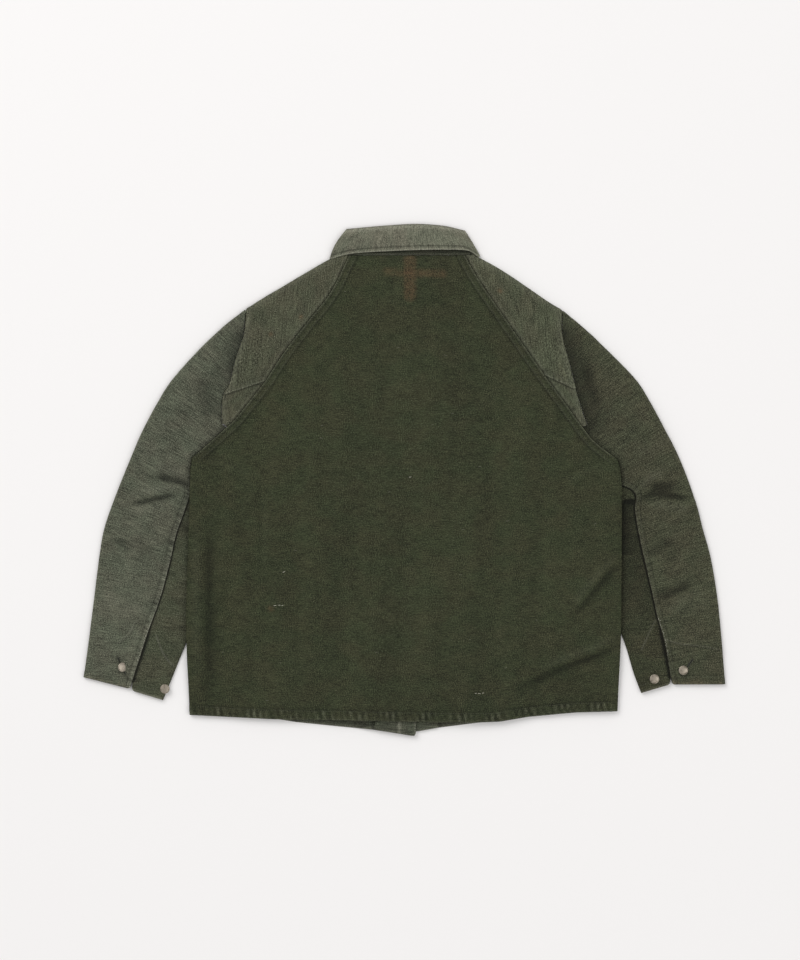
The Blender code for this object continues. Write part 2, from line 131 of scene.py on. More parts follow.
# Creases: line in plan, half width and height above or below the cloth beside them
backCreases = [
    ([(-301, -45), (-299, -180), (-297, -318)], 12, 1.1),
    ([(-283, -60), (-284, -190), (-285, -325)], 9, -1.2),
    ([(-209, -6), (-208, -95), (-211, -158)], 4, -0.55),
    ([(-203, -6), (-202, -95), (-205, -158)], 6, 0.6),
    ([(-209, -12), (-224, -44), (-240, -76)], 4, -0.5),
    ([(-214, -6), (-230, -40), (-246, -72)], 6, 0.45),
    ([(313, -116), (285, -150), (247, -197)], 6, -1.4),
    ([(314, -106), (280, -140), (240, -188)], 8, 1.2),
    ([(313, -236), (278, -254.5), (236, -270.4), (206, -283.5), (170, -302.3)], 6, -1.5),
    ([(313, -226), (278, -244), (232, -260), (190, -280)], 8, 1.3),
    ([(-296, 30), (-262, 22), (-215, 6)], 8, 0.6),
    ([(300, 22), (262, 10), (226, -10)], 8, 0.6),
    ([(4, -20), (6, -150), (2, -300)], 16, 0.35),
    ([(-120, 190), (-60, 150), (20, 132)], 22, 0.35),
    ([(150, 140), (90, 90), (40, 60)], 22, 0.35),
]
sleeveCreases = [
    ([(-362, 6), (-336, 0), (-311, -6)], 5, -1.8),
    ([(-366, 18), (-338, 12), (-314, 7)], 7, 1.1),
    ([(-398, -36), (-362, -29), (-328, -21)], 5, -1.6),
    ([(-390, -19), (-352, -14), (-322, -12)], 6, 1.1),
    ([(-402, -48), (-364, -40), (-334, -34)], 7, 0.9),
    ([(-326, -66), (-318, -72), (-312, -78)], 5, -1.0),
    ([(-410, 60), (-372, 40), (-340, 32)], 9, 0.5),
    ([(-432, -90), (-392, -96), (-352, -110)], 10, -0.5),
    ([(-440, -175), (-405, -182), (-372, -190)], 12, 0.45),
    ([(-300, 150), (-285, 118), (-282, 88)], 10, -0.7),
    ([(341, -31), (360, -21), (380, -23), (414, -28)], 4.5, -1.7),
    ([(354, -36), (384, -38), (416, -44)], 7, 1.0),
    ([(356, -8), (372, -12), (394, -9)], 7, -1.5),
    ([(342, -14), (358, 2), (378, 16)], 6, 1.3),
    ([(338, -30), (331, -33), (324, -33)], 4, -1.2),
    ([(396, 66), (362, 46), (330, 38)], 9, 0.5),
    ([(396, -92), (374, -98), (352, -106)], 10, -0.7),
    ([(366, -174), (390, -163), (420, -151)], 8, -1.1),
    ([(386, -178), (408, -170), (436, -160)], 9, 0.6),
    ([(446, -180), (410, -186), (376, -190)], 12, 0.45),
    ([(262, 176), (270, 140), (284, 100)], 9, -0.7),
]


def smooth(x):
    x = np.clip(x, 0, 1)
    return x * x * (3 - 2 * x)


def bell(x, width):
    return np.exp(-((x / width) ** 2))


def plateau(x, start, end, soft):
    return smooth((x - start) / soft + 0.5) * smooth((end - x) / soft + 0.5)


def unit(step):
    return step / np.maximum(np.linalg.norm(step, axis=-1, keepdims=True), 1e-9)


def curve(points, fractions):
    # smooth cubic stretches through the points, read at fractions of the whole length
    p = np.array(points, float)
    ends = np.vstack([2 * p[0] - p[1], p, 2 * p[-1] - p[-2]])
    t = np.linspace(0, 1, 17)[:-1, None]
    runs = [
        0.5 * (2 * b + (c - a) * t + (2 * a - 5 * b + 4 * c - d) * t**2 + (3 * b - a - 3 * c + d) * t**3)
        for a, b, c, d in zip(ends, ends[1:], ends[2:], ends[3:])
    ]
    line = np.vstack(runs + [p[-1:]])
    along = lengthAlong(line)
    reach = np.asarray(fractions) * along[-1]
    return np.column_stack([np.interp(reach, along, line[:, k]) for k in range(p.shape[1])])


def lengthAlong(line):
    return np.concatenate([[0], np.cumsum(np.linalg.norm(np.diff(line, axis=0), axis=1))])


def evenly(points, count):
    return curve(points, np.linspace(0, 1, count))


def resample(line, count):
    # the same line with its points at even distances
    along = lengthAlong(line)
    reach = np.linspace(0, along[-1], count)
    return np.column_stack([np.interp(reach, along, line[:, k]) for k in range(2)])


def sideways(line):
    step = unit(np.gradient(line, axis=0))
    return np.column_stack([-step[:, 1], step[:, 0]])


def inward(line, side, distance):
    # a line that runs down one side, moved towards the middle of the garment
    return line - side * distance * sideways(line)


def seamField(x, y, line):
    # distance of each place from a line, and how far along the line it is
    line = np.asarray(line)
    along = lengthAlong(line)
    off, where = np.full(x.shape, 1e9), np.zeros(x.shape)
    for (ax, ay), (bx, by), start, end in zip(line, line[1:], along, along[1:]):
        dx, dy = bx - ax, by - ay
        t = np.clip(((x - ax) * dx + (y - ay) * dy) / max(dx * dx + dy * dy, 1e-9), 0, 1)
        here = np.hypot(x - ax - t * dx, y - ay - t * dy)
        closer = here < off
        off = np.where(closer, here, off)
        where = np.where(closer, start + t * (end - start), where)
    return off, where


def offLine(x, y, points, count=12):
    # distance of each place from the smooth line through a few points
    return seamField(x, y, evenly(points, count))[0]


def spots(x, y):
    # small brown marks
    return sum(0.6 * bell(np.hypot(x - markX, y - markY), size) for markX, markY, size in smallMarks)


def creased(x, y, creases):
    # every crease is a smooth ridge or trough whose height falls off with the square of the distance
    total = np.zeros(x.shape)
    for points, width, height in creases:
        line = evenly(points, 9)
        off, where = seamField(x, y, line)
        length = lengthAlong(line)[-1]
        fade = smooth(where / (0.25 * length)) * smooth((length - where) / (0.25 * length))
        total += height * bell(off, width) * (0.25 + 0.75 * fade)
    return total


def rumpled(x, y, seed, longest=150, shortest=38, waves=16):
    # a sum of sine waves in many directions, each as high as its length, from 0 at the lowest to about 1
    dice = np.random.default_rng(seed)
    total = np.zeros(x.shape)
    for _ in range(waves):
        turn, start = dice.uniform(0, np.pi), dice.uniform(0, 2 * np.pi)
        size = dice.uniform(shortest, longest)
        total += np.sin(2 * np.pi * (x * np.cos(turn) + y * np.sin(turn)) / size + start) * (size / longest)
    return np.clip(0.5 + total / (1.3 * np.sqrt(waves)), 0, 1.1)


def hills(x, y, seed, smallSeed):
    # broad and small unevenness of loose cloth, in millimetres
    small = garment["smallRumple"] * rumpled(x, y, smallSeed, 44, 15, 22)
    return garment["rumple"] * rumpled(x, y, seed) + small


def acrossAt(points, y):
    # where a line that runs down one side is, at each level
    p = np.array(points)[::-1]
    return np.interp(y, p[:, 1], p[:, 0])


def sideLift(x, y):
    # 1 where the body lies on the inner part of a sleeve, 0 where it lies on the floor
    lift = 0
    for cut in (leftCut, rightCut):
        reach = cut["side"] * (acrossAt(cut["innerEdge"], y) - cut["side"] * 40)
        lift = lift + smooth((cut["side"] * x - reach) / 26) * smooth((31 - y) / 24)
    return np.clip(lift, 0, 1)


def neckLift(x, y):
    # 1 where the front lies on the front of the collar
    mirrored = [(collar["mirror"] - a, b) for a, b in collar["spine"]]
    near = np.minimum(seamField(x, y, collar["spine"])[0], seamField(x, y, mirrored)[0])
    return smooth((62 - near) / 20)


def lowerHeight(x, y):
    return floorLevel + layer * neckLift(x, y) + loft * sideLift(x, y)


def leftFrontHeight(x, y):
    over = loft * smooth((x + 75) / 28)
    return floorLevel + np.maximum(over, layer * neckLift(x, y)) + loft * sideLift(x, y)


def upperHeight(x, y):
    # the back and shoulders: raised over the plackets and over the inner sleeves, and a little uneven
    plackets = smooth((170 - np.abs(x - 3)) / 72) * smooth((320 - y) / 42)
    loose = hills(x, y, 5, 6) * smooth((322 - y) / 40)
    return floorLevel + loft * (1 + plackets + sideLift(x, y)) + loose


def sleeveHeight(x, y):
    # the sleeves: tight at the body and the shoulder's fold, loose and creased further out
    free = np.full(x.shape, 1e9)
    for cut in (leftCut, rightCut):
        line = cut["shoulder"][4:] + cut["underarm"][1:] + cut["raglanLower"][1:] + cut["flank"][1:]
        onSide = cut["side"] * x > 0
        under = (cut["side"] * (x - acrossAt(cut["flank"], y)) < 0) & (y < cut["flank"][0][1]) & onSide
        free = np.minimum(free, np.where(under, 0, seamField(x, y, line)[0]))
    loose = np.maximum(smooth((free - 12) / 26), smooth((y - 196) / 22))
    uneven = hills(x, y, 9, 10) * (0.3 + 0.7 * smooth((y + 300) / 60))
    return floorLevel + layer + loose * (layer + creased(x, y, sleeveCreases) + uneven)


def onFloor(x, y):
    return np.full(x.shape, floorLevel)


def laid(rows, height):
    return np.dstack([rows, height(rows[..., 0], rows[..., 1])])


def wrapped(edge, fold, upper, lower, counts, turn=8):
    # a wall that lies from the line edge to the line fold, turns under there in a half circle and lies
    # below as far as the edge again; counts are its columns above and below. The second value says
    # which columns are seen from above
    out = sideways(fold)
    out *= np.sign(np.sum(out * (fold - edge), axis=1, keepdims=True))
    radius = (upper(*fold.T) - lower(*fold.T)) / 2
    centre = fold - out * (radius + garment["cadCloth"] / 2)[:, None]
    above, below = (np.linspace(0, 1, count)[None, :, None] for count in counts)
    high = laid(edge[:, None] + (centre - edge)[:, None] * above, upper)
    low = laid(edge[:, None] + (centre - edge)[:, None] * below[:, ::-1], lower)
    radius = (high[:, -1, 2] - low[:, 0, 2]) / 2
    level = (high[:, -1, 2] + low[:, 0, 2]) / 2
    angle = np.linspace(0, np.pi, turn + 1)[1:-1]
    plan = centre[:, None] + out[:, None] * (radius[:, None] * np.sin(angle))[..., None]
    bent = np.dstack([plan, level[:, None] + radius[:, None] * np.cos(angle)])
    grid = np.concatenate([high, bent, low], axis=1)
    return grid, np.arange(grid.shape[1])[None, :] < counts[0] + turn // 2


def roundCorner(grid, column, radius):
    # rounds the corner at the last row and the given column: a place at (p, q) from the corner's centre
    # moves to the same direction at the distance max(p, q)
    corner = grid[-1, column, :2]
    rowStep = unit(grid[-1, column + (6 if column == 0 else -6), :2] - corner)
    downStep = unit(corner - grid[-8, column, :2])
    offset = grid[..., :2] - corner
    skew = float(rowStep @ downStep)
    a = (offset @ rowStep - skew * (offset @ downStep)) / (1 - skew**2)
    b = -(offset @ downStep - skew * (offset @ rowStep)) / (1 - skew**2)
    p, q = np.clip(radius - a, 0, radius), np.clip(radius - b, 0, radius)
    index, half = np.arange(grid.shape[1])[None, :], grid.shape[1] // 2
    near = (index < half) if column == 0 else (index >= half)
    far = np.maximum(np.hypot(p, q), 1e-6)
    scale = np.where(near & (a < radius) & (b < radius), np.maximum(p, q) / far, 1)
    grid[..., :2] += (p * (1 - scale))[..., None] * rowStep - (q * (1 - scale))[..., None] * downStep


def directions(grid, axis):
    step = unit(np.diff(grid, axis=axis))
    first, last = np.take(step, [0], axis=axis), np.take(step, [-1], axis=axis)
    return np.concatenate([first, step], axis=axis) + np.concatenate([step, last], axis=axis)


def upAcross(start, end):
    # the direction at right angles to a line in plan, towards the neck
    step = unit(np.array(end, float) - start)
    return np.array([-step[1], step[0]]) * np.sign(step[0])


def metres(points):
    return (points - [*garment["centre"], 0]) * 0.001


def makeMesh(name, points, quads, uv=None, attributes=None, smoothFaces=True):
    # one object at the origin from arrays of points in metres and of quads
    mesh = bpy.data.meshes.new(name)
    mesh.vertices.add(len(points))
    mesh.vertices.foreach_set("co", np.ascontiguousarray(points, np.float32).ravel())
    mesh.loops.add(quads.size)
    mesh.loops.foreach_set("vertex_index", quads.ravel().astype(np.int32))
    mesh.polygons.add(len(quads))
    mesh.polygons.foreach_set("loop_start", np.arange(0, quads.size, 4, dtype=np.int32))
    mesh.update(calc_edges=True)
    if uv is not None:
        layerOfUv = mesh.uv_layers.new(name="grain")
        layerOfUv.data.foreach_set("uv", uv[quads.ravel()].astype(np.float32).ravel())
    for key, values in (attributes or {}).items():
        made = mesh.attributes.new(key, "FLOAT", "POINT")
        made.data.foreach_set("value", values.astype(np.float32).ravel())
    mesh.polygons.foreach_set("use_smooth", np.full(len(quads), smoothFaces))
    mesh.validate()
    piece = bpy.data.objects.new(name, mesh)
    bpy.context.scene.collection.objects.link(piece)
    return piece


def gridQuads(rows, columns, start=0):
    n = start + np.arange(rows * columns).reshape(rows, columns)
    return np.stack([n[:-1, :-1], n[1:, :-1], n[1:, 1:], n[:-1, 1:]], axis=-1).reshape(-1, 4)


def addPiece(name, points, quads, material, uv=None, attributes=None):
    # a piece of the garment, from points in millimetres
    piece = makeMesh(name, metres(points), quads, uv, attributes)
    piece.data.materials.append(material)
    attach(piece, "root")
    return piece


def clothShell(name, middle, grain, relief, tones, material, flipped):
    # a wall of cloth on a grid of middle points: the outer side carries the relief, the rim is rounded.
    # outer = middle + normal (half + relief), inner = middle - normal half
    normal = unit(np.cross(directions(middle, 0), directions(middle, 1))) * (-1 if flipped else 1)
    half = garment["cloth"] / 2
    outer, inner = middle + normal * (half + relief)[..., None], middle - normal * half
    flatMiddle, flatOuter, flatInner = (face.reshape(-1, 3) for face in (middle, outer, inner))
    rows, columns = middle.shape[:2]
    n = np.arange(rows * columns).reshape(rows, columns)
    edge = np.concatenate([n[0, :-1], n[:-1, -1], n[-1, :0:-1], n[:0:-1, 0]])
    inside = np.clip(np.stack(np.unravel_index(edge, n.shape), 1), 1, [rows - 2, columns - 2])
    outwards = unit(flatMiddle[edge] - middle[inside[:, 0], inside[:, 1]])
    rim = (flatOuter[edge] + flatInner[edge]) / 2 + outwards * garment["rim"]
    ring = 2 * n.size + np.arange(len(edge))
    nextEdge, nextRing = np.roll(edge, -1), np.roll(ring, -1)
    quads = np.vstack([
        gridQuads(rows, columns),
        gridQuads(rows, columns, n.size)[:, ::-1],
        np.stack([edge, nextEdge, nextRing, ring], 1),
        np.stack([ring, nextRing, nextEdge + n.size, edge + n.size], 1),
    ])
    if flipped:
        quads = quads[:, ::-1]
    grain = grain.reshape(-1, 2)
    uv = np.concatenate([grain, grain, grain[edge]]) * 0.001
    attributes = {}
    for key, values in zip(("wear", "shade", "stain"), tones):
        flat = np.broadcast_to(np.clip(values, 0, 1), n.shape).ravel()
        attributes[key] = np.concatenate([flat, flat, flat[edge]])
    return addPiece(name, np.vstack([flatOuter, flatInner, rim]), quads, material, uv, attributes), outer


def tubeFaces(count, rings, sides):
    # the faces of closed tubes whose points come ring by ring, with the two tips of every tube at the end
    n = np.arange(count * rings * sides).reshape(count, rings, sides)
    tips = n.size + np.arange(2 * count).reshape(count, 1, 2)
    a, b = n[:, :-1], n[:, 1:]
    parts = [np.stack([a, np.roll(a, -1, 2), np.roll(b, -1, 2), b], -1)]
    fan = (np.arange(0, sides, 2)[:, None] + [0, 1, 2]) % sides
    for end, order in ((0, -1), (1, 1)):
        tip = np.repeat(tips[..., end: end + 1], len(fan), axis=1)
        parts.append(np.concatenate([n[:, -end][:, fan][..., ::order], tip], axis=-1))
    return np.vstack([part.reshape(-1, 4) for part in parts])


class Wire:
    # a value in a material's nodes; arithmetic on it adds Math nodes
    def __init__(self, tree, socket):
        self.tree, self.socket = tree, socket

    def node(self, kind, settings, values, out=0):
        made = self.tree.nodes.new(kind)
        for key, value in settings.items():
            setattr(made, key, value)
        for key, value in values.items():
            if isinstance(value, Wire):
                self.tree.links.new(value.socket, made.inputs[key])
            else:
                made.inputs[key].default_value = value
        return Wire(self.tree, made.outputs[out])

    def math(self, operation, a, b=0.0):
        return self.node("ShaderNodeMath", {"operation": operation}, {0: a, 1: b})

    def __add__(self, other):
        return self.math("ADD", self, other)

    def __sub__(self, other):
        return self.math("SUBTRACT", self, other)

    def __mul__(self, other):
        return self.math("MULTIPLY", self, other)

    def __truediv__(self, other):
        return self.math("DIVIDE", self, other)

    def __rsub__(self, other):
        return self.math("SUBTRACT", other, self)

    __radd__ = __add__
    __rmul__ = __mul__

    def between(self, low, high, start=0.0, end=1.0):
        # eased from start to end while the value goes from low to high
        settings = {"interpolation_type": "SMOOTHSTEP"}
        values = {"Value": self, "From Min": low, "From Max": high, "To Min": start, "To Max": end}
        return self.node("ShaderNodeMapRange", settings, values)

    def mixed(self, a, b):
        # colour a where the value is 0 and colour b where it is 1
        settings = {"data_type": "RGBA", "clamp_factor": True}
        return self.node("ShaderNodeMix", settings, {0: self, 6: a, 7: b}, 2)

    def scaled(self, factor):
        # a colour made lighter or darker
        return self.node("ShaderNodeVectorMath", {"operation": "SCALE"}, {0: self, 3: factor})

    def noise(self, x, y, scaleX, scaleY, seed, detail=2.0):
        # noise on the cloth's own grain, with a cell size in millimetres across and along
        place = self.node("ShaderNodeCombineXYZ", {}, {0: x / scaleX, 1: y / scaleY, 2: float(seed)})
        return place.cloud(1.0, detail)

    def cloud(self, scale, detail):
        # noise over a place
        return self.node("ShaderNodeTexNoise", {}, {"Vector": self, "Scale": scale, "Detail": detail})

    def attribute(self, name):
        return self.node("ShaderNodeAttribute", {"attribute_name": name}, {}, 2)


def linear(colour):
    share = np.array(colour) / 255
    return (*np.where(share <= 0.04045, share / 12.92, ((share + 0.055) / 1.055) ** 2.4), 1.0)


def newMaterial(name):
    made = bpy.data.materials.new(name)
    made.use_nodes = True
    shader = made.node_tree.nodes["Principled BSDF"]
    return made, shader, Wire(made.node_tree, None)


def connect(wire, shader, socket):
    wire.tree.links.new(wire.socket, shader.inputs[socket])


def bumped(shader, height, distance, strength):
    values = {"Height": height, "Distance": distance, "Strength": strength}
    connect(height.node("ShaderNodeBump", {}, values), shader, "Normal")


# Noise in the cloth: cell across and along the grain in millimetres, what its seed adds, and detail
clothNoise = {
    "sway": (26, 26, 5, 1.0), "slub": (30, 2.2, 0, 2.0), "streak": (1.4, 7, 2, 2.0),
    "heather": (1.5, 1.2, 3, 3.0), "mottle": (18, 14, 4, 3.0), "fading": (44, 230, 6, 3.0),
    "rough": (4, 3, 7, 4.0), "hue": (44, 36, 8, 4.0), "patches": (9, 7, 9, 4.0),
}


def clothMaterial(name, look):
    # slubby cotton: a plain weave with thick and thin yarn, faded unevenly, pale where worn and where
    # highlights are painted, with painted shade in folds and by seams
    made, shader, start = newMaterial(name)
    grain = start.node("ShaderNodeUVMap", {"uv_map": "grain"}, {})
    place = start.node("ShaderNodeSeparateXYZ", {}, {0: grain}).socket.node.outputs
    across, along = (Wire(start.tree, place[k]) * 1000.0 for k in range(2))
    cells = {**clothNoise, "thin": (look["slubLong"], 1.2, 1, 2.0)}
    part = {
        key: start.noise(across, along, wide, long, look["seed"] + extra, detail)
        for key, (wide, long, extra, detail) in cells.items()
    }
    # the pale attribute carries real wear together with painted highlight, the shade attribute carries
    # painted shade
    wear, shade, stain = (start.attribute(key) for key in ("wear", "shade", "stain"))
    wear = wear * (0.62 + part["rough"] * 0.75)
    sway = part["sway"] * 1.4
    warp = start.math("SINE", (across + sway) * (2 * np.pi / look["yarn"]))
    weft = start.math("SINE", (along + sway) * (2 * np.pi / (look["yarn"] * 0.9)))
    weave, slub = warp * weft, part["slub"].between(0.58, 0.74)
    tone = 1.0 + slub * look["slub"] + weave * 0.05
    for key in ("thin", "streak", "heather", "mottle", "fading"):
        part[key] = part[key] - 0.5
        tone = tone + part[key] * look[key]
    first, second = (linear(look["colour"] + np.array(change)) for change in ((-1.6, 0.4, -0.6), (1.4, 0, 0)))
    body = part["hue"].between(0.35, 0.65).mixed(first, second)
    pale = start.math("MAXIMUM", wear, part["heather"].between(0.04, 0.34, 0.0, 0.3))
    base = pale.mixed(body, linear(look["worn"]))
    stain = stain * part["patches"].between(0.25, 0.62, 0.4, 1.0)
    light = start.math("MAXIMUM", tone, look["darkest"]) * (1.0 - shade * look["foldDark"])
    connect(stain.mixed(base, linear(look["stain"])).scaled(light), shader, "Base Color")
    connect(0.86 - slub * 0.1 + wear * 0.06, shader, "Roughness")
    relief = weave * 0.16 + (slub + part["thin"] + part["mottle"]) * 0.5 + part["heather"] * 0.45
    bumped(shader, relief, 0.00055, look["bump"])
    for socket, value in (("Sheen Weight", look["sheen"]), ("Sheen Roughness", 0.55),
                          ("Sheen Tint", linear(look["worn"])), ("Specular IOR Level", 0.18)):
        shader.inputs[socket].default_value = value
    return made


def threadMaterial(name, colour):
    made, shader, start = newMaterial(name)
    place = start.node("ShaderNodeTexCoord", {}, {}, 3)
    grain, patch = place.cloud(900.0, 3.0), place.cloud(22.0, 2.0)
    base = (patch * 0.5).mixed(linear(colour), linear([c * 1.12 for c in colour]))
    connect(base.scaled(0.72 + grain * 0.3 + patch * 0.3), shader, "Base Color")
    connect(0.7 + grain * 0.2, shader, "Roughness")
    bumped(shader, grain, 0.0002, 0.6)
    return made


def snapMaterial(name, look):
    # old silvered metal: brown tarnish in patches and in hollows, with painted shade low on the cap's sides,
    # fine scratches and worn bright rims
    made, shader, start = newMaterial(name)
    place = start.node("ShaderNodeTexCoord", {}, {}, 3)
    cloud, pits = place.cloud(260.0, 5.0), place.cloud(1500.0, 3.0)
    tarnishAndShade = (cloud.between(0.42, 0.68) * 0.55 + start.attribute("low") * 0.75).between(0.1, 1.0)
    base = tarnishAndShade.mixed(linear(look["bright"]), linear(look["tarnishAndShade"]))
    connect(base.scaled(0.85 + pits * 0.3), shader, "Base Color")
    connect(0.28 + tarnishAndShade * 0.3 + pits * 0.12, shader, "Roughness")
    connect(1.0 - tarnishAndShade * 0.25, shader, "Metallic")
    bumped(shader, pits * 0.4 + cloud, 0.0001, 0.5)
    return made


def puckers(along, seed, pitch=9.0, wander=1.0):
    # an uneven wave along a seam, from -1 to 1; wander is how much its pitch varies
    a, b, c = np.random.default_rng(seed).uniform(0, 2 * np.pi, 3)
    turn = 2 * np.pi * along / pitch
    phase = turn + wander * (1.9 * np.sin(turn / 6.3 + a) + 1.1 * np.sin(turn / 3.7 + b))
    return (0.62 + 0.38 * np.sin(turn / 4.9 + c)) * np.sin(phase)


def stitched(off, along, seed, width, rise, rows, reach, pull=0.4, pitch=9.0, wander=1.0):
    # the relief beside a seam: a raised band, a trough at each row of stitches, and puckers that die out
    wave = puckers(along + 0.25 * off, seed, pitch, wander)
    relief = rise * plateau(off, -2, width, 2.4)
    for row in rows:
        relief = relief - 0.34 * bell(off - row, 1.3)
    crimp = pull * wave * smooth((reach - off) / (0.8 * reach)) * (0.45 + 0.55 * smooth(off / 3))
    return relief + crimp, wave


def raglanLine(cut, counts=(40, 20, 14)):
    lines = [evenly(cut[key], n) for key, n in zip(("raglanUpper", "raglanMiddle", "raglanLower"), counts)]
    return np.vstack([lines[0], lines[1][1:], lines[2][1:]])


def spread(width, edge, count):
    # places across a row: set distances from both edges and the rest evenly between
    edge = np.array(edge) * min(1, 0.3 * width / edge[-1])
    between = np.linspace(edge[-1], width - edge[-1], count + 2)[1:-1]
    return np.concatenate([edge, between, width - edge[::-1]])


def bend(rows, row, line, reach):
    # bends a row of the grid onto a line, and the rows near it in proportion
    x, y = rows[row, :, 0], rows[row, :, 1]
    line = np.array(line)[np.argsort([p[0] for p in line])]
    sag = np.interp(x, line[:, 0], line[:, 1]) - y
    away = np.abs(rows[:, :, 1] - y[None])
    away[row] = 0
    rows[..., 1] += sag[None] * smooth(1 - away / reach)


def panelEdge(cut, counts, flankCount):
    line = np.vstack([raglanLine(cut, counts), evenly(cut["flank"], flankCount)[1:]])
    return inward(line, cut["side"], garment["seamGap"] / 2)


surfaces = {}


def finishCloth(name, node, middle, grain, relief, tones, cloth, flipped):
    # tones are wear together with painted highlight, painted shade and stain at each place, from 0 to 1
    piece, outer = clothShell(name, middle, grain, relief, tones, cloths[cloth], flipped)
    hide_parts(node)
    vertices = metres(outer.reshape(-1, 3))
    surfaces[name] = BVHTree.FromPolygons(vertices.tolist(), gridQuads(*outer.shape[:2]).tolist())


# The looks of the cloth: colours from 0 to 255, the pale one being where wear and painted highlight lead,
# yarn in millimetres, how strong each kind of noise is, how dark the painted shade gets and how long the
# slubs are
backLook = {
    "colour": (50, 53, 36), "worn": (104, 106, 88), "stain": (88, 70, 50), "yarn": 1.5, "seed": 11,
    "slub": 0.16, "thin": 1.7, "streak": 1.3, "heather": 4.5, "mottle": 0.7, "fading": 0.7,
    "foldDark": 0.5, "darkest": 0.25, "bump": 0.6, "sheen": 0.03, "slubLong": 13,
}
leftSleeveLook = {
    **backLook, "colour": (79, 81, 68), "worn": (136, 136, 120), "seed": 31, "heather": 4.4, "mottle": 0.8,
    "slub": 0.22, "thin": 2.2, "streak": 1.2, "fading": 0.5, "foldDark": 0.62, "sheen": 0.04, "slubLong": 24,
}
# The right sleeve is darker than the left, partly as painted shade for light that falls from the left and
# partly as the cloth's own tone
rightSleeveLook = {
    **leftSleeveLook, "colour": (62, 63, 48), "worn": (124, 123, 105), "seed": 47, "heather": 5.2,
    "streak": 1.6,
}
# The under sleeves are darker than the outer ones as painted shade, where they lie beside and under the body
leftUnderLook = {**leftSleeveLook, "colour": (64, 66, 51), "seed": 53, "foldDark": 0.84}
rightUnderLook = {**rightSleeveLook, "colour": (52, 53, 38), "seed": 59, "foldDark": 0.84}
leftShoulderLook = {**leftSleeveLook, "colour": (70, 71, 56), "seed": 61}
rightShoulderLook = {**leftSleeveLook, "colour": (71, 73, 57), "seed": 67}
frontLook = {**leftSleeveLook, "colour": (76, 78, 65), "seed": 73}
collarLook = {
    **leftSleeveLook, "colour": (99, 99, 85), "worn": (148, 147, 131), "seed": 83, "heather": 3.3,
    "slubLong": 12,
}
# The neck band is darker than the collar, partly as painted shade where it lies under the collar's edge
bandLook = {**leftSleeveLook, "colour": (58, 60, 46), "seed": 89}

cloths = {
    "back": clothMaterial("dark olive back cloth", backLook),
    "sleeveLeft": clothMaterial("grey olive left sleeve cloth", leftSleeveLook),
    "sleeveRight": clothMaterial("grey olive right sleeve cloth", rightSleeveLook),
    "underLeft": clothMaterial("left under sleeve cloth", leftUnderLook),
    "underRight": clothMaterial("right under sleeve cloth", rightUnderLook),
    "shoulderLeft": clothMaterial("left shoulder cloth", leftShoulderLook),
    "shoulderRight": clothMaterial("right shoulder cloth", rightShoulderLook),
    "front": clothMaterial("front cloth", frontLook),
    "collar": clothMaterial("faded collar cloth", collarLook),
    "band": clothMaterial("neck band cloth", bandLook),
}
print("materials made")


# Back panel: the band of the felled raglan seam, the hem, how hard the stitching pulls, and the rows and
# columns of its grid. Here and at the fronts, edge holds the distances of the columns near the side edges
back = {
    "band": 11.6, "bandRise": 0.4, "bandRows": (2.4, 10.2), "reach": 26, "pull": 0.3,
    "hem": 14, "hemRise": 0.75, "hemRows": (12.8,), "hemReach": 24, "hemPull": 0.6,
    "columns": 132, "edge": (0, 1.4, 2.8, 4.2, 5.6, 7, 8.4, 9.8, 11.2, 12.6, 14.4, 16.6, 19.4),
    "counts": (84, 34, 26), "flankCount": 128, "roll": 9,  # width of the edge that rolls down at the sides
    "neckShade": [(-92, 327), (-79, 327), (88, 327), (98, 331)],
}
# Soft brown stain below the neck: ends of each band, half width and how strong; small marks: place and size
stainBands = [((8.7, 318), (8.7, 267), 8.5, 0.54), ((-26, 301), (56, 298), 6, 0.32),
              ((24, 298), (54, 297), 4, 0.22)]
smallMarks = [(-193, 211, 3), (-149, 235.6, 3), (139, 273, 3.5), (-193, -187, 4)]


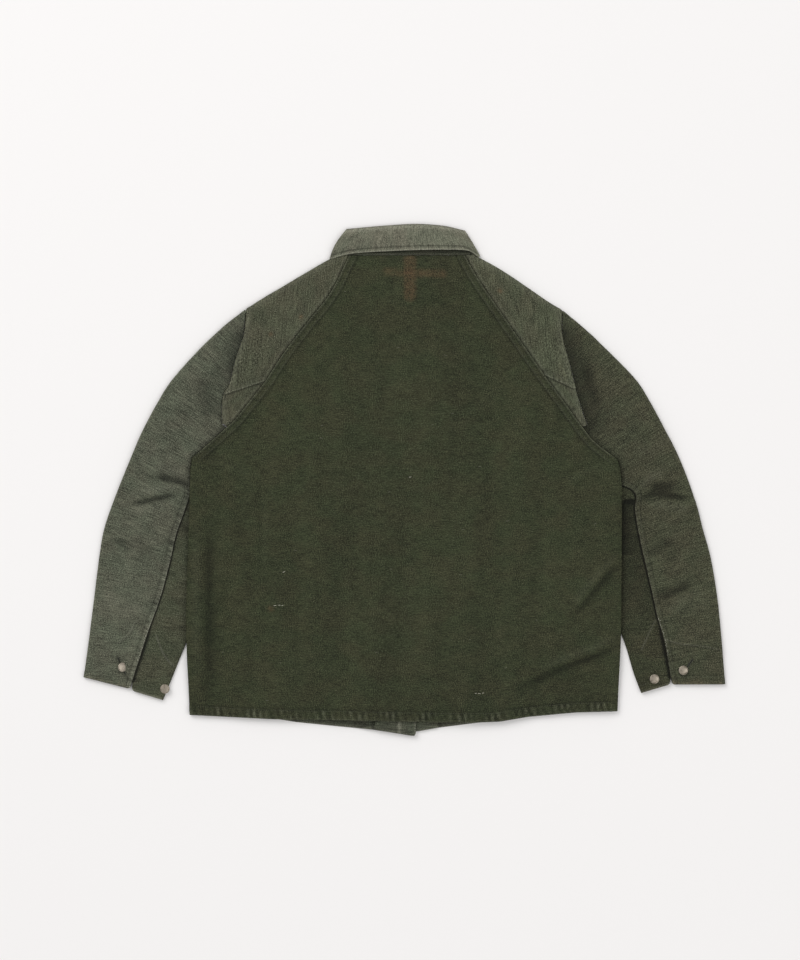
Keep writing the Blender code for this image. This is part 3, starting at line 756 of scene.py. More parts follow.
def makeBack():
    left, right = (panelEdge(cut, back["counts"], back["flankCount"]) for cut in (leftCut, rightCut))
    widths = np.linalg.norm(right - left, axis=1)
    share = np.array([spread(w, back["edge"], back["columns"]) / w for w in widths])
    rows = left[:, None] + (right - left)[:, None] * share[..., None]
    bend(rows, -1, backHem, 110)
    x, y = rows[..., 0], rows[..., 1]
    reach = np.minimum(x - rows[:, :1, 0], rows[:, -1:, 0] - x)
    roll = 0.95 * layer * (1 - np.clip(reach / back["roll"], 0, 1)) ** 2 * smooth((31 - y) / 26)
    fold = creased(x, y, backCreases)
    height = upperHeight(x, y) - roll + smooth(reach / back["roll"]) * fold
    relief, wear, shade = np.zeros(x.shape), np.zeros(x.shape), np.zeros(x.shape)
    for cut, seed in ((leftCut, 3), (rightCut, 4)):
        off, along = seamField(x, y, raglanLine(cut))
        ends = smooth((lengthAlong(raglanLine(cut))[-1] - along) / 22)
        bump, wave = stitched(off, along, seed, back["band"], back["bandRise"], back["bandRows"],
                              back["reach"], back["pull"])
        relief += bump * ends
        # Pale worn edge of the seam, painted highlight on the band's puckers and by its inner row, and
        # painted shade along the rows, over the band and between the puckers
        wear += ends * (0.45 * bell(off - 0.2, 1.3) + 0.03 * plateau(off, 1, 11, 2) * (1 + wave))
        wear += ends * 0.1 * bell(off - 9.2, 1.2)
        shade += ends * (0.8 * bell(off - 12, 1.6) + 0.6 * bell(off - 3, 1.2) + 0.12 * plateau(off, 1, 11, 2))
        shade += ends * 0.3 * smooth((24 - off) / 16) * np.clip(-wave, 0, 1)
    off, along = seamField(x, y, evenly(backHem, 60))
    bump, wave = stitched(off, along, 6, back["hem"], back["hemRise"], back["hemRows"],
                          back["hemReach"], back["hemPull"], 10.2, 0.4)
    relief += bump
    wave = np.sign(wave) * np.abs(wave) ** 0.7
    # Pale worn hem edge and painted highlight on the tops of the puckers; painted shade at the hem band's top
    # and between the puckers
    wear += 0.35 * bell(off, 1.8) + 0.45 * plateau(off, 1, 12.5, 2) * np.clip(wave, 0, 1) ** 2
    shade += 0.7 * bell(off - 14, 1.6) + 0.8 * plateau(off, 1.5, 13, 2) * np.clip(-wave, 0, 1)
    shade += 0.3 * smooth((24 - off) / 10) * np.clip(-wave, 0, 1)
    # Painted highlight on the ridges of the creases and painted shade in their troughs
    wear += 0.1 * np.clip(fold - 0.2, 0, 1.2)
    shade += 0.85 * np.clip(-fold, 0, 1.2)
    shade += 0.75 * bell(seamField(x, y, back["neckShade"])[0], 3.4)
    stain = spots(x, y)
    for start, end, width, amount in stainBands:
        stain += amount * smooth((width + 4 - seamField(x, y, [start, end])[0]) / 8)
    finishCloth("backPanel", "back_panel", np.dstack([rows, height]), rows, relief, (wear, shade, stain),
                "back", False)


front = {
    "edge": (0, 1.2, 2.4, 3.6, 5, 7, 9, 12, 16, 20, 24, 28, 32, 40, 50, 57, 59, 60.4, 61.8, 63.2, 65, 68),
    "counts": (44, 14, 10), "flankCount": 74, "columns": 68, "facing": 60, "corner": 4.5, "ridge": 25,
    "hemRow": 12.8, "edgeRow": 32, "seamRow": 10.4,
}


def makeFront(cut, side, height, flipped):
    edge = panelEdge(cut, front["counts"], front["flankCount"])
    centre = evenly(cut["placketEdge"], len(edge))
    widths = np.linalg.norm(centre - edge, axis=1)
    share = np.array([spread(w, front["edge"], front["columns"]) / w for w in widths])
    rows = edge[:, None] + (centre - edge)[:, None] * share[..., None]
    bend(rows, 0, cut["neckline"], 120)
    bend(rows, -1, cut["frontHem"], 110)
    x, y = rows[..., 0], rows[..., 1]
    grid = laid(rows, height)
    roundCorner(grid, grid.shape[1] - 1, front["corner"])
    hemOff = offLine(x, y, cut["frontHem"], 30)
    edgeOff = np.abs(x - cut["placketEdge"][0][0])
    seamOff = seamField(x, y, raglanLine(cut, (14, 8, 6)))[0]
    stitching = ((hemOff, front["hemRow"]), (edgeOff, front["edgeRow"]), (seamOff, front["seamRow"]))
    trough = -0.3 * sum(bell(off - row, 1.5) for off, row in stitching)
    wear = 0.5 * bell(hemOff, 2.4) + 0.4 * bell(edgeOff, 2.4) + 0.3 * bell(seamOff, 2)
    # Painted shade along the facing's edge and on the front beyond it
    shade = 1.3 * bell(edgeOff - front["facing"] - 1.6, 2.0) + 0.5 * smooth((edgeOff - front["facing"]) / 3)
    name = side.capitalize()
    finishCloth("front" + name, "front_" + side, grid, rows, trough, (wear, shade, 0.0), "front",
                flipped)
    columns = int(np.argmax(widths[-1] - share[-1] * widths[-1] < front["facing"]))
    facing = grid[:, columns:].copy()
    facing[..., 2] += layer
    offset = np.abs(facing[..., 0] - cut["placketEdge"][0][0])
    hem = hemOff[:, columns:]
    relief = 0.4 * plateau(hem, -2, 14, 2.4) + 0.3 * puckers(facing[..., 1], 8) * bell(offset, 8)
    relief = relief - 0.3 * bell(hem - front["hemRow"], 1.4) - 0.3 * bell(offset - 4, 1.3)
    # Pale worn hem and placket edges, and a stitched ridge pale from wear and painted highlight; painted
    # shade beside the ridge, by the hem, and over the whole left facing where it lies under the back
    wear = 0.3 * bell(hem, 2.4) + 0.45 * bell(offset, 2.2) + 0.8 * bell(offset - front["ridge"], 1.9)
    shade = 0.55 * bell(offset - front["ridge"] - 4, 1.6) + 0.5 * bell(hem - 3.6, 1.3)
    shade = shade + 0.2 * (side == "left")
    finishCloth("facing" + name, "facing_" + side, facing, facing[..., :2], relief, (wear, shade, 0.0),
                "front", not flipped)


# Shoulder and underarm pieces; counts are the columns above and below, band is the seam between the two
shoulder = {
    "rows": 96, "underRows": 40, "counts": (60, 22), "pull": 0.34, "reach": 20, "band": 7.5,
    "bandRows": (2.2, 6.8),
}


def grainAcross(grid, axis):
    # the cloth's own grain on a wrapped piece: along the axis in plan, and across it round the fold
    axis = np.array(axis) / np.linalg.norm(axis)
    cross = np.array([-axis[1], axis[0]])
    along = grid[..., :2] @ axis
    step = np.hypot(np.diff(grid[..., :2] @ cross, axis=1), np.diff(grid[..., 2], axis=1))
    first = grid[:, :1, :2] @ cross
    return np.dstack([np.concatenate([first, first + np.cumsum(step, axis=1)], axis=1), along])


def makeShoulder(cut, side, flipped):
    seam, fold = (
        np.vstack([evenly(cut[upper], shoulder["rows"]), evenly(cut[lower], shoulder["underRows"])[1:]])
        for upper, lower in (("raglanUpper", "raglanMiddle"), ("shoulder", "underarm"))
    )
    seam = inward(seam, cut["side"], -garment["seamGap"] / 2)
    grid, isUpper = wrapped(seam, fold, upperHeight, lowerHeight, shoulder["counts"])
    joint = shoulder["rows"] - 1
    crossLine = grid[joint, :shoulder["counts"][0], :2].copy()
    name = side.capitalize()
    for title, rows, end, seed in (
        ("shoulder", grid[:joint + 1].copy(), -1, 21),
        ("underarm", grid[joint:].copy(), 0, 22),
    ):
        away = rows[end] - rows[-2 if end else 1]
        rows[end] -= away * (garment["seamGap"] / 2 / np.linalg.norm(away, axis=1, keepdims=True))
        x, y = rows[..., 0], rows[..., 1]
        off, along = seamField(x, y, raglanLine(cut))
        crossOff, crossAlong = seamField(x, y, crossLine)
        pulled = puckers(along, seed)
        relief = shoulder["pull"] * pulled * smooth((shoulder["reach"] - off) / 16)
        # Painted shade along the raglan seam and between its puckers; the folded edge and the seam's edge
        # pale from wear and painted highlight
        shade = bell(off, 2.0) + 0.3 * smooth((16 - off) / 14) * np.clip(-pulled, 0, 1)
        wear = 0.12 * bell(seamField(x, y, fold)[0] - 2, 6) + 0.1 * bell(off - 4, 1.2)
        if title == "shoulder":
            bump, wave = stitched(crossOff, crossAlong, 24, shoulder["band"], 0.5, shoulder["bandRows"],
                                  20, 0.4, 8)
            relief = relief + bump
            # Pale worn edge of the cross seam, painted highlight on its puckers, painted shade by its inner
            # row and between the puckers
            wear = wear + 0.22 * bell(crossOff - 1, 1.2)
            wear = wear + 0.15 * plateau(crossOff, 1, 8, 2) * np.clip(wave, 0, 1)
            shade = shade + 0.3 * bell(crossOff - 8.4, 1.5)
            shade = shade + 0.5 * bell(crossOff - 4, 5) * np.clip(-wave, 0, 1)
        else:
            # Painted shade below the edge of the cross seam
            shade = shade + 0.95 * bell(crossOff, 2.0)
            markX, markY = cut["underarm"][1][0] - cut["side"] * 8, cut["underarm"][2][1] + 6
            shade = shade + 0.7 * bell(np.hypot((x - markX) / 4, (y - markY) / 1.6), 1)
        relief = np.where(isUpper, relief, np.minimum(relief, 0))
        grain = grainAcross(rows, (1, 0.12 * cut["side"]))
        tones = wear, shade, spots(x, y) * isUpper
        finishCloth(title + name, f"{title}_{side}", rows, grain, relief, tones, "shoulder" + name, flipped)


def grainAround(grid, centre):
    # the grain of a sleeve laid in a bend: round a far centre, and outwards from it
    away = grid[..., :2] - centre
    radius, angle = np.hypot(away[..., 0], away[..., 1]), np.arctan2(away[..., 1], np.abs(away[..., 0]))
    step = np.hypot(np.diff(radius, axis=1), np.diff(grid[..., 2], axis=1))
    across = np.concatenate([radius[:, :1], radius[:, :1] + np.cumsum(step, axis=1)], axis=1)
    return np.dstack([across, angle * sleeve["bendRadius"]])


# Sleeves: pitch of the rows, columns above and below, the far centre that the grain goes round, the felled
# back seam and the cuff's hem
sleeve = {
    "pitch": 2.0, "counts": (84, 26), "underRows": 160, "underCounts": (46, 22), "bendCentre": (336, -327),
    "bendRadius": 720, "pull": 0.4, "band": 6.6, "bandRows": (1.8, 6.0), "cuffHem": 12, "cuffRows": (10.8,),
}


def sleeveTube(edge, fold, cut, counts):
    # a flattened piece of sleeve from its seam to its fold, with the cuff's corners rounded
    grid, isUpper = wrapped(edge, fold, sleeveHeight, onFloor, counts)
    for column in (0, grid.shape[1] - 1):
        roundCorner(grid, column, cut["corner"])
    return grid, isUpper


def makeSleeve(cut, side, flipped):
    which = cut["side"]
    name = side.capitalize()
    fold = evenly(cut["shoulder"], 400)
    first = np.argmin(np.linalg.norm(fold - cut["sleeveTop"], axis=1)) / 399
    foldEdge = np.vstack([curve(cut["shoulder"], np.linspace(first, 1, 40)), evenly(cut["underarm"], 24)[1:]])
    flankTop = curve(cut["flank"], np.linspace(0, 0.07, 10))[1:]
    beside = np.vstack([evenly(cut["raglanLower"], 70)[1:], flankTop])
    seam = evenly(cut["backSeam"], 110)
    lines = [inward(foldEdge, which, -0.5), inward(beside, which, -0.3), inward(seam, which, -0.15)]
    lines.append(np.array([lines[-1][-1], cut["outerCorner"]], float))
    lines = [resample(line, max(3, round(lengthAlong(line)[-1] / sleeve["pitch"]))) for line in lines]
    inner = np.vstack(lines[:3] + [lines[3][1:]])
    along = lengthAlong(inner)
    grid, isUpper = sleeveTube(inner, curve(cut["arm"], along / along[-1]), cut, sleeve["counts"])
    x, y = grid[..., 0], grid[..., 1]
    seamLine = np.vstack([evenly(cut["backSeam"], 40), [cut["outerCorner"]]])
    off, where = seamField(x, y, seamLine)
    foldOff, foldAlong = seamField(x, y, foldEdge)
    sideOff = seamField(x, y, np.vstack([evenly(cut["raglanLower"], 10), evenly(cut["flank"], 20)]))[0]
    cuffOff, cuffAlong = seamField(x, y, grid[-1, ::6, :2])
    bump, wave = stitched(off, where, 41 + which, sleeve["band"], 0.55, sleeve["bandRows"], 18,
                          sleeve["pull"], 8.4)
    hem, hemWave = stitched(cuffOff, cuffAlong, 45 + which, sleeve["cuffHem"], 0.5, sleeve["cuffRows"],
                            20, 0.32, 7.6)
    relief = bump + hem + 0.2 * puckers(foldAlong, 47, 17) * smooth((34 - foldOff) / 30)
    relief = np.where(isUpper, relief, np.minimum(relief, 0))
    creases = creased(x, y, sleeveCreases)
    # Pale: worn edges of the back seam and the cuff and pale stitching by the vent, with painted highlight on
    # the seam's puckers, the ridges of creases and the arm's folded edge
    wear = cut["seamWear"] * bell(off, 1.3) + 0.16 * cut["seamWear"] * plateau(off, 1, 6, 2) * (1 + wave)
    wear = wear + 0.6 * bell(cuffOff, 2.4) * (0.5 + 0.5 * hemWave)
    wear = wear + 0.12 * np.clip(creases, 0, 1.5) + 0.1 * bell(offLine(x, y, cut["arm"], 40), 3.5)
    wear = wear + 0.32 * bell(offLine(x, y, cut["ventStitch"]), 1.1)
    # Painted shade: a dark line at the seam's edge, in the stitch troughs and between puckers, a painted
    # shadow beside the vent's stitching, along the shoulder's fold, beside the body, in creases, in the
    # cuff's stitch trough, in the vent and round the buttonhole
    shade = (0.75 - cut["seamWear"]) * bell(off, 1.0)
    shade = shade + 0.4 * bell(off - 7.4, 1.5) + 0.6 * smooth((14 - off) / 9) * np.clip(-wave, 0, 1)
    shade = shade + 0.4 * bell(offLine(x - 1.2, y + 1.4, cut["ventStitch"]), 1.7)
    deep = (0.8 + 0.2 * bell((y - 98) / 26, 1)) * smooth((238 - y) / 34) * smooth((y - 56) / 16)
    amount, reach, low = cut["foldShade"]
    upward = low + (1.15 - low) * smooth((y - 115) / 55)
    shade = shade + deep * (0.35 * bell(foldOff, 3.5) + amount * upward * bell(foldOff, reach))
    shade = shade + 0.6 * bell(sideOff, 6) * (y < 80) + 0.75 * np.clip(-creases, 0, 1.3)
    vent = smooth((-222 - y) / 14)
    shade = shade + 0.25 * bell(cuffOff - 13.5, 1.8) + vent * 0.6 * bell(off, 1.2)
    shade = shade + 0.8 * bell(offLine(x, y, cut["slit"], 6), 2.6)
    stain = 0.35 * bell(cuffOff, 5) * (0.5 + 0.5 * hemWave)
    centre = np.array(sleeve["bendCentre"]) * [-which, 1]
    finishCloth("sleeveOuter" + name, "sleeve_outer_" + side, grid, grainAround(grid, centre), relief,
                (wear * isUpper, shade * isUpper, stain * isUpper), "sleeve" + name, flipped)

    # the under piece, from the same seam round the inside of the arm
    seamLine = np.vstack([inward(seam, which, garment["seamGap"] / 2), [cut["innerCorner"]]])
    seamLine = resample(seamLine, sleeve["underRows"])
    fold = evenly(cut["innerEdge"], len(seamLine))
    grid, isUpper = sleeveTube(seamLine, fold, cut, sleeve["underCounts"])
    x, y = grid[..., 0], grid[..., 1]
    off, where = seamField(x, y, evenly(cut["backSeam"], 40))
    cuffOff, cuffAlong = seamField(x, y, grid[-1, ::5, :2])
    sideOff = offLine(x, y, cut["flank"], 30)
    hem = stitched(cuffOff, cuffAlong, 51 + which, sleeve["cuffHem"], 0.4, sleeve["cuffRows"],
                   16, 0.2, 7.6)[0]
    pulled = puckers(where, 53, 9)
    relief = 0.22 * pulled * smooth((14 - off) / 12) + hem
    relief = np.where(isUpper, relief * smooth(sideOff / 12), np.minimum(relief, 0))
    wear = 0.5 * bell(cuffOff, 2.0) + 0.32 * bell(offLine(x, y, cut["flapStitch"]), 1.1)
    vent = smooth((-210 - y) / 20)
    # Painted shade: beside the body, towards the top, between puckers, in the vent, beside the flap's
    # stitching, in the cuff's stitch trough and in creases
    flankDark, topDark, allDark = cut["underShade"]
    below = smooth((-y - 28) / 8)
    shade = (flankDark * bell(sideOff, 9) + topDark * bell(sideOff, 22) * (y > -110)) * below
    shade = shade + 0.3 * smooth((14 - off) / 9) * np.clip(-pulled, 0, 1)
    level, reach, width = cut["ventDark"]
    shade = shade + 0.9 * bell(off, width) * bell(y - level, reach)
    shade = shade + allDark * below * smooth((y + 250) / 120)
    shade = shade + 0.5 * bell(offLine(x + 1.2 * which, y + 1.4, cut["flapStitch"]), 1.7)
    shade = shade + 0.25 * bell(cuffOff - 13.5, 1.8)
    shade = 0.74 * (shade + 0.5 * np.clip(-creased(x, y, sleeveCreases), 0, 1.4))
    # painted shade in the open seam and in the gap below the armpit, darker than in any fold
    gapX, gapY = cut["armpitGap"]
    shade = shade + 1.3 * bell(np.hypot((x - gapX) / 9, (y - gapY) / 3), 1)
    shade = shade + 1.1 * bell(np.maximum(off - 1.1, 0), 1.2 + 1.8 * vent)
    finishCloth("sleeveUnder" + name, "sleeve_under_" + side, grid, grainAround(grid, centre), relief,
                (wear * isUpper, shade * isUpper, 0.0), "under" + name, not flipped)


collar = {
    "fold": [(-81.6, 362.6), (-33, 367), (16.5, 369.9), (58, 367), (86.6, 360.4)],
    "edge": [(-105, 319.8), (-83, 326), (-54, 329.2), (16, 332.4), (64, 333), (92.8, 331.4), (107.6, 322.6)],
    "frontFold": [(-81.6, 362.6), (-66, 335), (-54, 315), (-45, 300)],
    "frontEdge": [(-105, 319.8), (-111, 290), (-100, 250), (-75, 213)],
    "bandTop": [(-77, 354.5), (-33, 361), (16.5, 364.4), (58, 361.4), (82, 353.5)],
    "bandSeam": [(-90, 331.4), (-79, 325.8), (5, 325.3), (88, 325.8), (95.5, 330.6)],
    "frontBandTop": [(-77, 354.5), (-71, 333), (-59, 311), (-46, 295), (-25, 287), (-2, 285)],
    "frontBandSeam": [(-90, 331.4), (-73, 328), (-59.5, 298), (-40, 275), (-2, 263)],
    "spine": [(-92, 322), (-84, 270), (-72, 222)],  # where the front lies on the collar's front end
    "mirror": 10.4,  # twice the place of the collar's middle
    "counts": (86, 130), "columns": 40, "stitch": 6.0, "bandStitch": 2.4, "bulge": (3.4, 0.6),
}


def ring(backLine, frontLine, counts, high, low, bulge=1.0, turn=10):
    # up the left front, over the back and down the right front, with a half circle between each
    leftFront = evenly(frontLine, counts[0])[::-1]
    overBack = evenly(backLine, counts[1])
    rightFront = leftFront[::-1] * [-1, 1] + [collar["mirror"], 0]
    rightFront += (overBack[-1] - rightFront[0]) * np.linspace(1, 0, len(rightFront))[:, None] ** 2
    radius, level = (high - low) / 2, (high + low) / 2
    angle = np.linspace(0, np.pi, turn + 1)[1:-1, None]
    out = np.array([-0.95, 0.2]) * bulge * radius * np.sin(angle)
    flat = lambda line, z: np.column_stack([line, np.full(len(line), z)])
    leftTurn = np.column_stack([overBack[0] + out, level - radius * np.cos(angle)])
    rightTurn = np.column_stack([overBack[-1] + out * [-1, 1], level + radius * np.cos(angle)])
    return np.vstack([flat(leftFront, low), leftTurn, flat(overBack, high), rightTurn, flat(rightFront, low)])


def makeCollar():
    high, low = floorLevel + loft, floorLevel + layer
    counts = collar["counts"]
    top = ring(collar["bandTop"], collar["frontBandTop"], counts, high, low)
    seam = ring(collar["bandSeam"], collar["frontBandSeam"], counts, high, low)
    share = np.linspace(0, 1, 16)[None, :, None]
    grid = top[:, None] + (seam - top)[:, None] * share
    along = np.broadcast_to(lengthAlong(seam)[:, None], grid.shape[:2])
    width = np.linalg.norm(seam - top, axis=1)[:, None]
    facingUp = np.clip((grid[..., 2] - low) / (high - low) * 2 - 1, 0, 1)
    off = width * (1 - share[..., 0])
    relief = 0.35 * puckers(along, 71, 8.5) * bell(off, 6) - 0.25 * bell(off - collar["bandStitch"], 1)
    relief = relief * facingUp
    wear = 0.3 * bell(off, 1.5) * facingUp
    # painted shade over the band, which lies under the collar's edge
    shade = (0.9 * bell(off - 8, 5) + 0.5) * facingUp
    grain = np.dstack([along, off + 0 * along])
    finishCloth("neckBand", "neck_band", grid, grain, relief, (wear, shade, 0.0), "band", True)

    high, low = floorLevel + loft + layer, floorLevel
    fold = ring(collar["fold"], collar["frontFold"], counts, high, low, 0.4)
    edge = ring(collar["edge"], collar["frontEdge"], counts, high, low)
    share = np.linspace(0, 1, collar["columns"])[None, :, None]
    grid = fold[:, None] + (edge - fold)[:, None] * share
    fromMiddle = grid[..., 0] - collar["mirror"] / 4
    ends = smooth((np.abs(fromMiddle) - 58) / 32) * smooth((grid[..., 1] - 318) / 10)
    bulge = np.where(fromMiddle < 0, -collar["bulge"][0], collar["bulge"][1])
    grid[..., 0] += bulge * ends * np.sin(np.pi * share[..., 0])
    facingUp = np.clip((grid[..., 2] - low) / (high - low) * 2 - 1, 0, 1)
    grid[..., 2] -= 2.2 * facingUp * (1 - np.clip(share[..., 0] / 0.1, 0, 1)) ** 2
    along = np.broadcast_to(lengthAlong(edge)[:, None], grid.shape[:2])
    width = np.linalg.norm(edge - fold, axis=1)[:, None]
    off = width * (1 - share[..., 0])
    bump, wave = stitched(off, along, 77, 5.2, 0.35, (collar["stitch"],), 24, 0.62, 8)
    crown = 0.9 * np.sin(np.pi * np.clip(share[..., 0], 0, 1)) ** 1.3 * facingUp
    uneven = 0.7 * (rumpled(grid[..., 0], grid[..., 1], 13, 60, 16) - 0.5)
    grid[..., 2] += (crown + uneven * np.sin(np.pi * share[..., 0])) * facingUp
    relief = np.where(facingUp > 0.5, bump, np.minimum(bump, 0))
    # The rolled edge and the fold pale from wear and painted highlight, painted highlight on the puckers'
    # tops; painted shade at the stitching, between puckers and along the fold
    wear = 0.7 * bell(off, 1.7) + 0.3 * bell(off - collar["stitch"] - 1.5, 2) * np.clip(wave, 0, 1)
    wear = wear + 0.35 * bell(width * share[..., 0] - 3, 4)
    shade = 0.75 * bell(off - collar["stitch"], 1.3) + 0.3 * smooth((20 - off) / 14) * np.clip(-wave, 0, 1)
    shade = shade + 0.4 * bell(width * share[..., 0], 1.6)
    grain = np.dstack([off + 0 * along, along])
    finishCloth("collarLeaf", "collar", grid, grain, relief, (wear, shade, 0.0), "collar", True)


makeBack()
makeFront(leftCut, "left", leftFrontHeight, True)
makeFront(rightCut, "right", lowerHeight, False)
for cut, side, flipped in ((leftCut, "left", True), (rightCut, "right", False)):
    makeShoulder(cut, side, flipped)
    makeSleeve(cut, side, flipped)
makeCollar()
print("cloth made")


# Stitches: short rounded threads half sunk in the cloth, their sizes in millimetres
stitch = {
    "long": 2.5, "gap": 1.0, "radius": 0.3, "sides": 5, "sink": 0.12, "drift": 0.12, "arch": 0.16,
    "longVaries": (0.86, 1.12), "gapVaries": (0.8, 1.3),
    "share": (0.0, 0.1, 0.35, 0.65, 0.9, 1.0), "thick": (0.05, 0.7, 1.0, 1.0, 0.7, 0.05),
}


def heightOn(name, x, y):
    # the height of the cloth's upper face above a place in plan, in millimetres
    place = metres(np.array([[x, y, 0.0]]))[0]
    hit = surfaces[name].ray_cast((place[0], place[1], 0.08), (0, 0, -1))[0]
    return None if hit is None else hit.z * 1000


def makeThreads(name, starts, ends, radius, material):
    # each thread is a spindle: its radius is thick times radius and its middle rises by arch sin(pi share)
    starts, ends = np.array(starts), np.array(ends)
    share, thick, sides = np.array(stitch["share"]), np.array(stitch["thick"]), stitch["sides"]
    axis = unit(ends - starts)
    side = unit(np.cross(axis, [0, 0, 1.0]))
    up = np.cross(side, axis)
    middle = starts[:, None] + (ends - starts)[:, None] * share[None, :, None]
    middle = middle + up[:, None] * (stitch["arch"] * np.sin(np.pi * share))[None, :, None]
    angle = np.linspace(0, 2 * np.pi, sides, endpoint=False)[None, None, :, None]
    around = side[:, None, None] * np.cos(angle) + up[:, None, None] * np.sin(angle)
    points = middle[:, :, None] + around * (radius * thick)[None, :, None, None]
    tips = np.stack([middle[:, 0], middle[:, -1]], 1)
    points = np.vstack([points.reshape(-1, 3), tips.reshape(-1, 3)])
    addPiece(name, points, tubeFaces(len(starts), len(share), sides), material)
    print(f"{name}: {len(starts)} threads")


def stitchRow(line, on, seed):
    # starts and ends of the stitches along a line, dropped onto the named cloth
    dice = np.random.default_rng(seed)
    line = resample(np.array(line), 400)
    along = lengthAlong(line)
    starts, ends, place = [], [], 0.4
    while place + stitch["long"] < along[-1]:
        size = stitch["long"] * dice.uniform(*stitch["longVaries"])
        pair = []
        for reach in (place, place + size):
            x, y = (np.interp(reach, along, line[:, k]) + dice.normal(0, stitch["drift"]) for k in (0, 1))
            height = heightOn(on, x, y)
            if height is None:
                break
            pair.append((x, y, height - stitch["sink"]))
        if len(pair) == 2:
            starts.append(pair[0])
            ends.append(pair[1])
        place += size + stitch["gap"] * dice.uniform(*stitch["gapVaries"])
    return starts, ends


def sewRows(name, rows, material):
    # rows are a line, the cloth it is sewn on and a seed
    sewn = [stitchRow(*row) for row in rows]
    starts, ends = ([place for row in sewn for place in row[k]] for k in (0, 1))
    makeThreads(name, starts, ends, stitch["radius"], material)


threads = {
    "dark": threadMaterial("olive sewing thread on dark cloth", (62, 64, 49)),
    "light": threadMaterial("olive sewing thread on pale cloth", (76, 78, 63)),
    "fibre": threadMaterial("pale loose fibre", (112, 111, 96)),
    "fleck": threadMaterial("bright loose fibre", (176, 173, 156)),
    "hole": threadMaterial("shadow in a slit", (20, 20, 15)),
}


def sewEverything():
    rows = []
    for cut, seed in ((leftCut, 100), (rightCut, 200)):
        line = raglanLine(cut)
        for number, distance in enumerate(back["bandRows"]):
            rows.append((inward(line, cut["side"], distance), "backPanel", seed + number))
    hem = evenly(backHem, 120)
    hem = hem + sideways(hem) * back["hemRows"][0]
    rows.append((hem[2:-2], "backPanel", 301))
    sewRows("backStitches", rows, threads["dark"])
    rows = []
    for cut, seed, name in ((leftCut, 400, "Left"), (rightCut, 500, "Right")):
        outer, under = "sleeveOuter" + name, "sleeveUnder" + name
        start, end = np.array(cut["raglanUpper"][-1]), np.array(cut["shoulder"][-1])
        across, up = unit(end - start), upAcross(start, end)
        for number, distance in enumerate(shoulder["bandRows"]):
            line = [start + across * 2 + up * distance, end - across * 4 + up * distance]
            rows.append((line, "shoulder" + name, seed + number))
        for number, distance in enumerate(sleeve["bandRows"]):
            line = inward(evenly(cut["backSeam"], 80), cut["side"], -distance)
            rows.append((line, outer, seed + 10 + number))
        for corner, edge, on, number in (
            ("outerCorner", "arm", outer, 20), ("innerCorner", "innerEdge", under, 21),
        ):
            cuff = np.array([cut[corner], cut[edge][-1]], float)
            rows.append((cuff + upAcross(*cuff) * sleeve["cuffRows"][0], on, seed + number))
        rows.append((evenly(cut["ventStitch"], 30), outer, seed + 30))
        rows.append((evenly(cut["flapStitch"], 30), under, seed + 31))
    edge = evenly(collar["edge"], 120)
    inside = edge + sideways(edge) * collar["stitch"]
    rows.append((inside[3:-3], "collarLeaf", 601))
    band = evenly(collar["bandSeam"], 60)
    rows.append(((band + sideways(band) * collar["bandStitch"])[4:-4], "neckBand", 602))
    sewRows("sleeveStitches", rows, threads["light"])


def frayed(cut, dice):
    # short pale ends of yarn along the worn top of the vent, as place, length and turn
    line = resample(inward(evenly(cut["backSeam"], 120)[84:108], cut["side"], -1.6), 26)
    line = line + dice.normal(0, 0.5, line.shape)
    return [(x, y, dice.uniform(1.2, 3.0), dice.uniform(0, np.pi)) for x, y in line]


# Loose fibres as place, length and turn; the scattered ones as how many, their field and their lengths
fibres = {
    "bright": [(-187, -182.6, 5, 0.1), (-180.5, -182, 4, -0.1), (-176, -182.4, 3, 0.2), (104, -309.6, 3, 0.1),
               (109, -310, 5, -0.1), (114.5, -309.2, 3.5, 0.2), (-174, -134, 4, 0.4), (8.7, 3.6, 4, 0.2)],
    "placed": [(-120, 60, 5, 0.1), (150, -60, 6, 0.15), (60, 180, 5, -0.2), (-40, -250, 5, 0.0)],
    "scattered": [(14, (-290, 290), (-330, 20), (2.5, 5)), (5, (-120, 120), (40, 300), (2.5, 4))],
}


def makeFlecks():
    # loose fibres and slubs that stand out of the cloth, a few of them brighter
    dice = np.random.default_rng(14)
    pale = fibres["placed"] + [
        (dice.uniform(*across), dice.uniform(*down), dice.uniform(*long), dice.normal(0, 0.3))
        for count, across, down, long in fibres["scattered"] for _ in range(count)
    ]
    for name, on, flecks, radius, material in (
        ("looseFibres", "backPanel", pale, 0.22, threads["fibre"]),
        ("brightFibres", "backPanel", fibres["bright"], 0.34, threads["fleck"]),
        ("frayLeft", "sleeveOuterLeft", frayed(leftCut, dice), 0.2, threads["fleck"]),
        ("frayRight", "sleeveOuterRight", frayed(rightCut, dice), 0.2, threads["fleck"]),
    ):
        starts, ends = [], []
        for x, y, long, turn in flecks:
            step = np.array([np.cos(turn), np.sin(turn)]) * long / 2
            a, b = (heightOn(on, x + way * step[0], y + way * step[1]) for way in (-1, 1))
            if a is not None and b is not None:
                starts.append((x - step[0], y - step[1], a + 0.05))
                ends.append((x + step[0], y + step[1], b + 0.05))
        makeThreads(name, starts, ends, radius, material)


# Buttonholes: pitch of the bars, their ends beside the slit, radius of the threads and of the painted shadow
# in the slit
slit = {"pitch": 0.75, "bar": (0.55, 1.9), "thread": 0.3, "dark": 0.9, "ends": 0.6}


